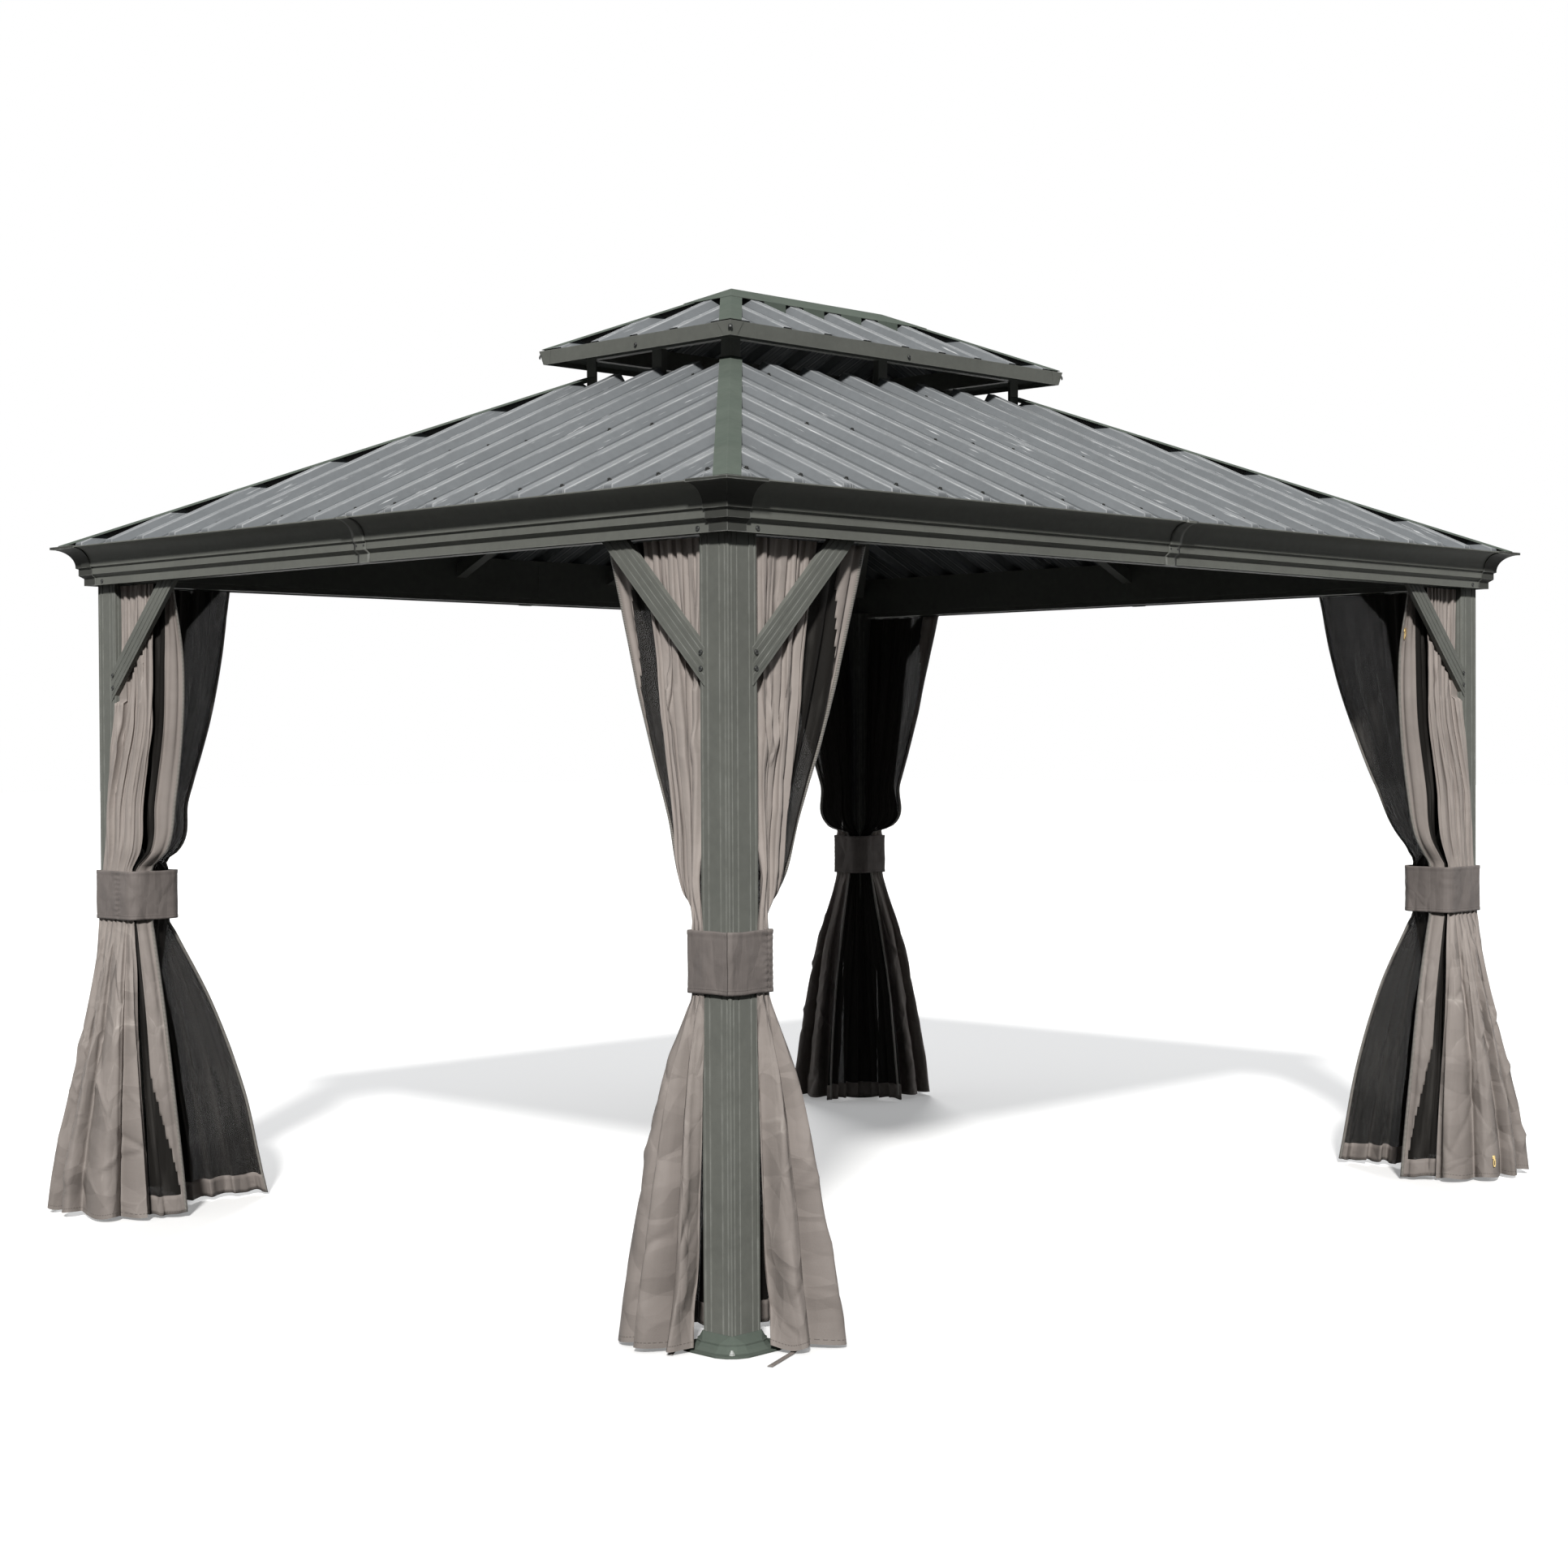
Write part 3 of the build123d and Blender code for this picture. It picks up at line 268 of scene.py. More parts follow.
class Nodes:
    """Short ways to build one node tree."""

    def __init__(self, tree):
        self.tree = tree

    def feed(self, socket, value):
        """Puts another node's output, a number or a colour on an input."""
        if isinstance(value, bpy.types.NodeSocket):
            self.tree.links.new(value, socket)
        else:
            socket.default_value = (*value, 1) if socket.type == "RGBA" and len(value) == 3 else value

    def put(self, node, **values):
        for key, value in values.items():
            self.feed(node.inputs[key.replace("_", " ")], value)

    def add(self, kind, **values):
        """A node with its own properties set and its inputs fed."""
        node = self.tree.nodes.new("ShaderNode" + kind)
        for key, value in values.items():
            if hasattr(node, key):
                setattr(node, key, value)
            else:
                self.put(node, **{key: value})
        return node

    def listed(self, kind, values, **properties):
        """A node whose inputs are fed in order."""
        node = self.add(kind, **properties)
        for socket, value in zip(node.inputs, values):
            self.feed(socket, value)
        return node.outputs

    def maths(self, operation, *values):
        return self.listed("Math", values, operation=operation)[0]

    def times(self, first, *others):
        for other in others:
            first = self.maths("MULTIPLY", first, other)
        return first

    def blended(self, share, first, second):
        """Mix of two colours."""
        node = self.add("Mix", data_type="RGBA")
        for socket, value in ((node.inputs["Factor"], share), (node.inputs[6], first), (node.inputs[7], second)):
            self.feed(socket, value)
        return node.outputs[2]

    def ranged(self, value, low, high, to_low=0.0, to_high=1.0):
        return self.add("MapRange", Value=value, From_Min=low, From_Max=high, To_Min=to_low,
                        To_Max=to_high).outputs["Result"]

    def noise(self, vector, scale, detail=3.0, roughness=0.55):
        return self.add("TexNoise", Vector=vector, Scale=scale, Detail=detail, Roughness=roughness).outputs["Fac"]

    def place(self):
        return self.add("TexCoord").outputs["Object"]

    def flat(self):
        return self.add("UVMap", uv_map="UVMap").outputs["UV"]

    def parts(self, vector):
        return self.add("SeparateXYZ", Vector=vector).outputs

    def stretched(self, vector, scale, turn=0.0):
        return self.add("Mapping", Vector=vector, Scale=scale, Rotation=(0, 0, turn)).outputs["Vector"]

    def group(self, name, **values):
        return self.add("Group", node_tree=bpy.data.node_groups[name], **values).outputs

    def bumped(self, shader, height, distance, strength):
        bump = self.add("Bump", Strength=strength, Distance=distance, Height=height)
        self.put(shader, Normal=bump.outputs["Normal"])

    def send(self, **results):
        """Gives a group its outputs: a colour, and values."""
        for key in results:
            kind = "NodeSocketColor" if key == "Colour" else "NodeSocketFloat"
            self.tree.interface.new_socket(name=key, in_out="OUTPUT", socket_type=kind)
        self.put(self.tree.nodes.new("NodeGroupOutput"), **results)


def new_group(name, **inputs):
    """An empty shader node group with inputs for values and colours."""
    tree = bpy.data.node_groups.new(name, "ShaderNodeTree")
    for key, default in inputs.items():
        kind = "NodeSocketFloat" if isinstance(default, float) else "NodeSocketColor"
        socket = tree.interface.new_socket(name=key.replace("_", " "), in_out="INPUT", socket_type=kind)
        socket.default_value = default
    return Nodes(tree), tree.nodes.new("NodeGroupInput").outputs


def emptied(holder):
    """Node tree of a material or a world, with nothing in it."""
    holder.use_nodes = True
    holder.node_tree.nodes.clear()
    return Nodes(holder.node_tree)


def new_material(name, **values):
    """A material with its Principled shader's own sockets set."""
    made = bpy.data.materials.new(name)
    made.use_nodes = True
    shader = made.node_tree.nodes["Principled BSDF"]
    for key, value in values.items():
        shader.inputs[key.replace("_", " ")].default_value = value
    return Nodes(made.node_tree), shader


def coat_group():
    """Powder coat: broad mottling, a fine orange-peel height and an uneven gloss."""
    n, given = new_group("Powder coat grain", Colour=(0.1, 0.1, 0.1, 1), Mottle=0.12, Gloss_low=0.40,
                         Gloss_high=0.56)
    place = n.place()
    fine = n.noise(place, 46)
    spread = n.maths("MULTIPLY_ADD", n.noise(place, 3.1, 4), 0.65, n.times(fine, 0.35))
    dark = n.blended(given["Mottle"], given["Colour"], (0.0, 0.0, 0.0))
    span = n.maths("SUBTRACT", given["Gloss high"], given["Gloss low"])
    n.send(Colour=n.blended(n.ranged(spread, 0.35, 0.65), dark, given["Colour"]),
           Roughness=n.maths("MULTIPLY_ADD", fine, span, given["Gloss low"]),
           Height=n.noise(place, 780, 2, 0.4))


def scuff_and_highlight_group():
    """Lighter coat along the edges, broken up by noise: partly bare coat scuffed through, partly painted highlight on
    the edges.
    """
    n, given = new_group("Edge wear", Colour=(0.1, 0.1, 0.1, 1), Worn_colour=(0.4, 0.4, 0.4, 1), Amount=0.5)
    # Pale edges: partly scuffed coat, partly painted highlight
    rounded = n.add("Bevel", samples=4, Radius=0.0032).outputs["Normal"]
    facing = n.add("NewGeometry").outputs["Normal"]
    edge = n.ranged(n.listed("VectorMath", (rounded, facing), operation="DOT_PRODUCT")["Value"], 0.995, 0.80)
    broken = n.ranged(n.noise(n.place(), 21, 4, 0.6), 0.36, 0.66)
    mask = n.times(edge, broken, given["Amount"])
    n.send(Colour=n.blended(mask, given["Colour"], given["Worn colour"]), Mask=mask)


def dust_and_shade_group():
    """Pale dust on faces that look up and low down near the ground on metal; on cloth a dark colour near the ground,
    which is painted shade.
    """
    n, given = new_group("Dust film", Colour=(0.1, 0.1, 0.1, 1), Dust=(0.42, 0.40, 0.36, 1), Amount=0.3,
                         Ground=0.25)
    place = n.place()
    up = n.ranged(n.parts(n.add("NewGeometry").outputs["Normal"])["Z"], 0.55, 1.0)
    low = n.ranged(n.parts(place)["Z"], 0.34, 0.0)
    cloud = n.ranged(n.noise(place, 7.5, 6, 0.62), 0.38, 0.72)
    lying = n.maths("MAXIMUM", n.times(up, given["Amount"]), n.times(low, given["Ground"]))
    mask = n.times(lying, cloud)
    n.send(Colour=n.blended(mask, given["Colour"], given["Dust"]), Mask=mask)


def facets(n, flat, scale):
    """Crumpled cloth: heights of flat facets that fall away to sharp creases, and lines along the creases, where
    painted highlights go.
    """
    spot = n.stretched(flat, (scale * 1.5, scale * 0.8, 1), 0.35)
    warp = n.add("TexNoise", Vector=spot, Scale=1.3).outputs["Color"]
    bent = n.listed("VectorMath", (warp, (0.28, 0.28, 0.0), spot), operation="MULTIPLY_ADD")["Vector"]
    far = n.add("TexVoronoi", feature="DISTANCE_TO_EDGE", Vector=bent, Scale=1.0).outputs["Distance"]
    return n.ranged(far, 0.0, 0.5), n.ranged(far, 0.022, 0.004)


def weave_group():
    """Plain weave over the cloth's own flat size, with slubs, painted shade towards the hem, creases with painted
    highlight lines, and a stitched hem.
    """
    n, given = new_group("Cloth weave", Colour=(0.3, 0.3, 0.3, 1), Thread=0.0011, Contrast=0.16, Stitch=0.036,
                         Crumple=1.0)
    flat = n.flat()
    parts = n.parts(flat)
    x, y = parts["X"], parts["Y"]
    turns = n.maths("DIVIDE", math.pi, given["Thread"])
    over = n.times(n.maths("SINE", n.times(x, turns)), n.maths("SINE", n.times(y, turns)))
    slub = n.noise(n.stretched(flat, (160, 5, 1)), 1.0)
    broad = n.noise(flat, 5.5, 4, 0.6)
    crinkle = n.noise(flat, 34, 5, 0.6)
    shade = n.maths("MULTIPLY_ADD", slub, 0.25, n.times(broad, 0.75))
    dark = n.blended(given["Contrast"], given["Colour"], (0.02, 0.016, 0.014))
    tone = n.blended(n.ranged(shade, 0.34, 0.66), dark, given["Colour"])
    # Darker towards the hem: painted shade
    hem_shade = n.times(n.ranged(y, 0.25, 1.0, 0.30, 0.0), given["Crumple"])
    tone = n.blended(hem_shade, tone, (0.03, 0.027, 0.026))
    off = n.maths("ABSOLUTE", n.maths("SUBTRACT", y, given["Stitch"]))
    dash = n.maths("GREATER_THAN", n.maths("SINE", n.times(x, 1400)), -0.3)
    line = n.times(n.ranged(off, 0.0016, 0.0006), dash)
    tone = n.blended(n.times(line, 0.45), tone, (0.06, 0.05, 0.045))
    height = n.maths("MULTIPLY_ADD", over, 0.00012, n.times(crinkle, 0.0012))
    loose = n.times(n.ranged(y, 0.75, 1.1, 1.0, 0.22), given["Crumple"])
    # Pale lines along the creases: painted highlights
    crease_highlight = n.times(n.ranged(broad, 0.54, 0.68, 0.0, 0.22), loose)
    for scale, tall in ((4.0, 0.0230), (9.0, 0.0120)):
        facet, edge = facets(n, flat, scale)
        height = n.maths("MULTIPLY_ADD", n.times(facet, loose), tall, height)
        tone = n.blended(n.times(edge, crease_highlight), tone, (0.62, 0.57, 0.53))
    n.send(Colour=tone, Height=n.maths("SUBTRACT", height, n.times(line, 0.0008)),
           Roughness=n.ranged(crinkle, 0.3, 0.7, 0.46, 0.66))


def streak_group():
    """Scuffs and dried streaks down the slope of a roof face, and painted shade lines and painted highlight lines along
    its ribs and valleys.
    """
    n, given = new_group("Slope streaks", Colour=(0.2, 0.2, 0.2, 1), Streak=(0.75, 0.76, 0.77, 1), Amount=0.6)
    place = n.place()
    parts = n.parts(place)
    x, y = parts["X"], parts["Y"]
    beyond = n.maths("SUBTRACT", n.maths("ABSOLUTE", x), n.maths("ABSOLUTE", y))
    long_face = n.maths("LESS_THAN", beyond, EAVE_X - EAVE_Y)
    short_face = n.maths("SUBTRACT", 1.0, long_face)
    across = n.maths("ADD", n.times(x, long_face), n.times(y, short_face))
    down = n.maths("ADD", n.times(y, long_face), n.times(x, short_face))
    spot = n.add("CombineXYZ", X=n.times(across, 210.0), Y=n.times(down, 7.5), Z=n.times(short_face, 40.0))
    thin = n.ranged(n.noise(spot.outputs[0], 1.0, 4, 0.6), 0.61, 0.70)
    patch = n.ranged(n.noise(place, 4.2, 4, 0.6), 0.45, 0.62)
    mask = n.times(thin, patch, given["Amount"])
    turns = n.maths("FRACT", n.maths("ADD", n.maths("DIVIDE", across, RIB_PITCH), 0.5))
    off = n.times(n.maths("ABSOLUTE", n.maths("SUBTRACT", turns, 0.5)), RIB_PITCH)

    def lines(*rows):
        """The strongest of lines at distances from a rib's middle, each of a width and a strength."""
        most = 0.0
        for at, wide, strong in rows:
            near = n.ranged(n.maths("ABSOLUTE", n.maths("SUBTRACT", off, at)), wide, 0.0)
            most = n.maths("MAXIMUM", most, n.times(near, strong))
        return most

    # Dark lines at the rib feet and across the valleys: painted shade of the creases
    groove = lines((0.0375, 0.0046, 0.90), (0.0590, 0.0036, 0.75), (0.0755, 0.0036, 0.75))
    # Pale lines along the rib edges, broken up by noise: painted highlights
    highlight_lines = lines((0.0160, 0.0030, 1.0), (0.0672, 0.0034, 1.0))
    pale_scuffs_and_highlights = n.times(highlight_lines, n.ranged(n.noise(place, 6.5, 4, 0.6), 0.35, 0.7, 0.05, 0.55))
    lined = n.blended(groove, given["Colour"], (0.045, 0.050, 0.053))
    lined = n.blended(pale_scuffs_and_highlights, lined, given["Streak"])
    n.send(Colour=n.blended(mask, lined, given["Streak"]), Mask=mask)


def coated(name, colour, mottle, gloss, edge_scuff_and_highlight, dust, shine=0.05):
    """Powder-coated metal with scuffed edges that also carry painted highlights, and dust."""
    n, shader = new_material(name, Metallic=0.0, IOR=1.5, Specular_IOR_Level=shine)
    coat = n.group("Powder coat grain", Colour=colour, Mottle=mottle, Gloss_low=gloss[0], Gloss_high=gloss[1])
    pale_scuffs_and_highlights = n.group("Edge wear", Colour=coat["Colour"], Worn_colour=(0.46, 0.47, 0.45), Amount=edge_scuff_and_highlight)
    dust_and_shade = n.group("Dust film", Colour=pale_scuffs_and_highlights["Colour"], Amount=dust[0], Ground=dust[1])
    n.put(shader, Base_Color=dust_and_shade["Colour"],
          Roughness=n.maths("MULTIPLY_ADD", dust_and_shade["Mask"], 0.3, coat["Roughness"]))
    n.bumped(shader, coat["Height"], 0.00035, 0.55)


def roof_sheet_material(colour):
    """Satin coat of the ribbed sheets, scuffed and streaked down the slope."""
    n, shader = new_material("Roof sheet coat", Metallic=0.0, IOR=1.5, Specular_IOR_Level=0.06)
    coat = n.group("Powder coat grain", Colour=colour, Mottle=0.16, Gloss_low=0.30, Gloss_high=0.46)
    pale_scuffs_and_highlights = n.group("Edge wear", Colour=coat["Colour"], Worn_colour=(0.45, 0.46, 0.47), Amount=0.14)
    streaked = n.group("Slope streaks", Colour=pale_scuffs_and_highlights["Colour"], Amount=0.75)
    dust_and_shade = n.group("Dust film", Colour=streaked["Colour"], Dust=(0.36, 0.37, 0.37), Amount=0.30, Ground=0.0)
    rough = n.maths("MULTIPLY_ADD", dust_and_shade["Mask"], 0.25, coat["Roughness"])
    n.put(shader, Base_Color=dust_and_shade["Colour"], Roughness=n.maths("MULTIPLY_ADD", streaked["Mask"], 0.2, rough))
    n.bumped(shader, coat["Height"], 0.00025, 0.5)


def cloth_material(name, colour, thread, contrast, stitch, crumple):
    """Woven cloth with a soft sheen."""
    n, shader = new_material(name, Metallic=0.0, IOR=1.45, Specular_IOR_Level=0.16)
    weave = n.group("Cloth weave", Colour=colour, Thread=thread, Contrast=contrast, Stitch=stitch, Crumple=crumple)
    # Dark near the ground: painted shade
    dust_and_shade = n.group("Dust film", Colour=weave["Colour"], Dust=(0.17, 0.15, 0.135), Amount=0.0, Ground=0.35)
    n.put(shader, Base_Color=dust_and_shade["Colour"], Roughness=weave["Roughness"])
    n.bumped(shader, weave["Height"], 1.0, 0.75)


def net_material(colour):
    """See-through black netting: square mesh of thin threads with uneven density."""
    n, shader = new_material("Net mesh", Metallic=0.0, IOR=1.45, Specular_IOR_Level=0.04)
    flat = n.flat()
    parts, turns = n.parts(flat), math.pi / 0.0016
    warp, weft = [n.maths("ABSOLUTE", n.maths("SINE", n.times(parts[way], turns))) for way in "XY"]
    threads = n.maths("LESS_THAN", n.maths("MINIMUM", warp, weft), 0.965)
    cloud = n.noise(n.stretched(flat, (26, 2.2, 1)), 1.0, 4)
    n.put(shader, Alpha=n.maths("MAXIMUM", threads, n.ranged(cloud, 0.3, 0.72, 0.05, 0.5)),
          Base_Color=n.blended(n.ranged(cloud, 0.5, 0.75), colour, (0.050, 0.047, 0.044)),
          Roughness=n.ranged(cloud, 0.3, 0.7, 0.45, 0.7))
    n.bumped(shader, n.maths("ADD", warp, weft), 0.0003, 0.5)


def fitting_material(name, colour, metallic, low, high):
    """Small fittings, such as screws and pulls, with uneven gloss and fine scratches."""
    n, shader = new_material(name, Metallic=metallic, IOR=1.5)
    place = n.place()
    cloud = n.noise(place, 160, 4, 0.6)
    pale = tuple(min(1, c * 1.7) for c in colour)
    n.put(shader, Base_Color=n.blended(n.ranged(cloud, 0.35, 0.7), colour, pale),
          Roughness=n.ranged(cloud, 0.3, 0.7, low, high))
    n.bumped(shader, n.noise(place, 900, 2), 0.0002, 0.4)


def zip_material():
    """Zip tape with teeth along its length."""
    n, shader = new_material("Zip tape", Metallic=0.0, IOR=1.45)
    tooth = n.maths("SINE", n.times(n.parts(n.flat())["Y"], 2 * math.pi / 0.003))
    n.put(shader, Base_Color=n.blended(n.ranged(tooth, -0.5, 0.5), (0.05, 0.046, 0.042), (0.33, 0.31, 0.28)),
          Roughness=n.ranged(tooth, -1, 1, 0.55, 0.35))
    n.bumped(shader, tooth, 0.0006, 0.8)


# Cloth shapes in millimetres: rows of a level, path points in the corner frame, depths of the fine and broad folds

SIDE_CURTAIN = (
    ("top", ((200, 122), (255, 126), (310, 123), (365, 126), (420, 123)), (6, 1)),
    (1800, ((200, 126), (250, 130), (302, 127), (354, 130), (406, 127)), (9, 3)),
    (1650, ((199.5, 128), (243, 134), (288, 130), (334, 134), (380, 130)), (11, 7)),
    (1500, ((199, 128), (238, 135), (280, 132), (322, 135), (362, 130)), (11.5, 10)),
    (1250, ((199, 120), (228, 132), (258, 136), (290, 138), (322, 132)), (10, 11)),
    (1070, ((196, 97.5), (214, 108), (240, 120), (268, 128), (292, 132)), (6, 6)),
    ("above", ((186, 97.5), (212, 98.5), (231, 104), (232, 134), (230, 164)), (1.4, 0.5)),
    ("below", ((184, 97.5), (212, 98.5), (231, 103), (232, 134), (230, 166)), (1.4, 0.5)),
    (620, ((188, 96.5), (226, 78), (276, 62), (294, 104), (288, 162)), (2.6, 18)),
    (350, ((196, 92), (230, 50), (296, 26), (326, 82), (322, 162)), (2, 29)),
    (130, ((199, 80), (232, 24), (312, -8), (350, 64), (348, 166)), (1.6, 34)),
    ("hem", ((165, 38), (222, 2), (322, -18), (362, 58), (358, 172)), (1.4, 34)),
)
FACING_CURTAIN = (
    ("top", ((200, 122), (246, 126), (292, 123), (338, 126), (385, 123)), (6, 1)),
    (1700, ((198.5, 125), (242, 130), (286, 127), (330, 130), (375, 127)), (8, 8)),
    (1500, ((190, 98.5), (234, 117), (278, 125), (322, 128), (365, 127)), (6.8, 11)),
    (1250, ((150, 95.5), (192, 96), (236, 104), (280, 112), (322, 116)), (4.5, 10)),
    (1100, ((142, 95), (185, 95), (230, 98), (275, 102), (318, 109)), (5, 6)),
    ("above", ((134, 94), (174, 94), (214, 94.2), (254, 95), (288, 100)), (3.2, 1)),
    ("below", ((108, 94), (150, 94), (195, 94), (245, 94.5), (290, 102)), (3.2, 1)),
    (620, ((88, 70), (140, 55), (198, 47), (262, 56), (318, 92)), (3, 16)),
    (350, ((56, 32), (120, 6), (200, -4), (288, 20), (352, 86)), (2.2, 25)),
    (130, ((30, -2), (104, -32), (206, -42), (316, -4), (386, 80)), (1.6, 30)),
    ("hem", ((20, -12), (98, -42), (208, -52), (326, -12), (398, 78)), (1.4, 32)),
)
SIDE_NET = (
    ("top", ((206, 141), (302, 144), (394, 140), (486, 144), (576, 140)), (5, 2)),
    (1700, ((205, 156), (290, 159), (372, 155), (452, 158), (530, 154)), (6, 6)),
    (1500, ((204, 163), (272, 165), (340, 162), (408, 164), (476, 160)), (5.5, 8)),
    (1250, ((202, 168), (248, 170), (294, 168), (340, 168), (386, 164)), (5, 8)),
    (1070, ((200, 176), (224, 175), (252, 172), (284, 167), (316, 161)), (4, 5)),
    ("above", ((199.5, 193), (206, 187), (214, 181), (222, 175), (230, 166)), (2.5, 0)),
    ("below", ((199.5, 193), (206, 188), (214, 182), (222, 176), (230, 168)), (2.5, 0)),
    (620, ((204, 212), (228, 205), (254, 198), (280, 196), (304, 190)), (3, 6)),
    (350, ((222, 232), (258, 222), (296, 212), (330, 206), (358, 204)), (2.5, 11)),
    (130, ((246, 252), (286, 240), (330, 228), (368, 222), (398, 224)), (2, 15)),
    ("hem", ((252, 262), (296, 248), (342, 234), (382, 228), (414, 234)), (2, 16)),
)
FACING_NET = (
    ("top", ((206, 141), (270, 144), (335, 140), (400, 144), (464, 140)), (5, 2)),
    (1700, ((205, 156), (268, 158), (330, 156), (386, 148), (418, 196)), (5.5, 4)),
    (1500, ((204, 163), (262, 164), (322, 158), (374, 148), (408, 202)), (5, 5)),
    (1250, ((202, 172), (254, 170), (300, 156), (336, 138), (372, 196)), (4.5, 5)),
    (1100, ((205, 190), (240, 180), (284, 160), (326, 130), (352, 176)), (3.5, 3)),
    ("above", ((250, 245), (262, 200), (272, 150), (284, 108), (293, 160)), (2, 0)),
    ("below", ((250, 245), (262, 200), (272, 150), (284, 108), (293, 160)), (2, 0)),
    (620, ((262, 200), (278, 160), (300, 124), (326, 108), (352, 164)), (2.5, 3)),
    (350, ((268, 190), (292, 150), (328, 116), (360, 106), (396, 170)), (2.5, 5)),
    (130, ((264, 165), (304, 130), (352, 100), (392, 106), (428, 176)), (2, 6)),
    ("hem", ((262, 150), (310, 120), (362, 96), (404, 108), (440, 180)), (2, 6)),
)
AWAY_NET = SIDE_NET[:5] + (
    ("above", ((199.5, 193), (214, 201), (229, 211), (240, 226), (246, 244)), (2.5, 0)),
    ("below", ((199.5, 193), (214, 201), (229, 211), (241, 226), (247, 244)), (2.5, 0)),
    (620, ((210, 212), (258, 217), (310, 226), (352, 236), (396, 250)), (3.5, 9)),
    (350, ((230, 236), (296, 236), (362, 241), (428, 255), (490, 275)), (3, 13)),
    (130, ((250, 256), (322, 250), (396, 252), (468, 268), (536, 291)), (2.5, 16)),
    ("hem", ((254, 262), (332, 255), (411, 256), (488, 272), (562, 297)), (2.5, 17)),
)
# Shapes: curtain and net, how far in and how near the lip they may be at the band, lowest border of the net's edge
SHAPES = {"side": (SIDE_CURTAIN, SIDE_NET, 0.2330, 0.0960, 1.42),
          "away": (SIDE_CURTAIN, AWAY_NET, 0.2500, 0.0960, 9.0),
          "facing": (FACING_CURTAIN, FACING_NET, 0.2960, 0.0895, 0.0)}
# Wings: corner, eave, whether that is the corner's second eave, shape, seed, reach of curtain and net, flare
WINGS = (
    ("front_left", "front", False, "side", 11, 1.00, 1.08, 1.00),
    ("front_left", "left", True, "side", 23, 0.95, 0.92, 1.00),
    ("front_right", "right", False, "away", 37, 1.10, 1.26, 0.82),
    ("front_right", "front", True, "facing", 41, 1.00, 1.00, 1.00),
    ("back_right", "back", False, "side", 53, 1.00, 1.00, 1.05),
    ("back_right", "right", True, "side", 67, 0.95, 0.95, 1.05),
    ("back_left", "left", False, "facing", 71, 1.00, 1.00, 1.00),
    ("back_left", "back", True, "away", 83, 1.00, 0.93, 1.00),
)
NET_SHARE = 0.55  # mesh rows and columns of a net, as a share of a curtain's
BAND_ROOM, BAND_EASE = 0.004, 0.022  # cloth is straight so far above and below a band, and eases out over so much
BAND_GRIP = 0.98  # share of the cloth beyond a band that is drawn in
STRETCH_FROM = 0.199  # a wing is stretched by its reach and flare from here on along its eave
CRUMPLE_DEEP, GRAIN_DEEP = 0.0036, 0.0004
CREASES, CREASE_DEEP = 64, 0.0052
SWAGS, SWAG_DEEP = 2, 0.0070
HEM_WAVE = 0.006


def smooth_noise(rng, x, y, nx, ny):
    """Smooth random field from -1 to 1 over shares x and y, with nx by ny cells."""
    grid = rng.uniform(-1, 1, (ny + 2, nx + 2))
    gx, gy = np.clip(x, 0, 0.9999) * nx, np.clip(y, 0, 0.9999) * ny
    i, j = gx.astype(int), gy.astype(int)
    fx, fy = gx - i, gy - j
    fx, fy = fx * fx * (3 - 2 * fx), fy * fy * (3 - 2 * fy)
    low = grid[j, i] * (1 - fx) + grid[j, i + 1] * fx
    high = grid[j + 1, i] * (1 - fx) + grid[j + 1, i + 1] * fx
    return low * (1 - fy) + high * fy


def eased(levels, values, at):
    """Smooth interpolation through values at falling levels."""
    x, xs = -np.asarray(at, float), -np.asarray(levels, float)
    v = np.asarray(values, float)
    wide = (-1, *([1] * (v.ndim - 1)))
    step = np.diff(xs)
    slope = np.diff(v, axis=0) / step.reshape(wide)
    tangent = np.concatenate([slope[:1], (slope[:-1] + slope[1:]) / 2, slope[-1:]])
    ends = np.zeros_like(slope[:1], bool)
    tangent = np.where(np.concatenate([ends, slope[:-1] * slope[1:] <= 0, ends]), 0, tangent)
    k = np.clip(np.searchsorted(xs, x) - 1, 0, len(xs) - 2)
    h, t = step[k].reshape(wide), ((x - xs[k]) / step[k]).reshape(wide)
    return ((2 * t ** 3 - 3 * t ** 2 + 1) * v[k] + (t ** 3 - 2 * t ** 2 + t) * h * tangent[k]
            + (3 * t ** 2 - 2 * t ** 3) * v[k + 1] + (t ** 3 - t ** 2) * h * tangent[k + 1])


def path_through(points, share):
    """Points on a smooth curve through evenly spaced path points, for each level."""
    first, last = 2 * points[:, :1] - points[:, 1:2], 2 * points[:, -1:] - points[:, -2:-1]
    padded = np.concatenate([first, points, last], axis=1)
    g = np.clip(share, 0, 0.99999) * (points.shape[1] - 1)
    k = g.astype(int)
    t = (g - k)[None, :, None]
    p0, p1, p2, p3 = (padded[:, k + i] for i in range(4))
    return 0.5 * (2 * p1 + (p2 - p0) * t + (2 * p0 - 5 * p1 + 4 * p2 - p3) * t ** 2
                  + (3 * p1 - p0 - 3 * p2 + p3) * t ** 3)


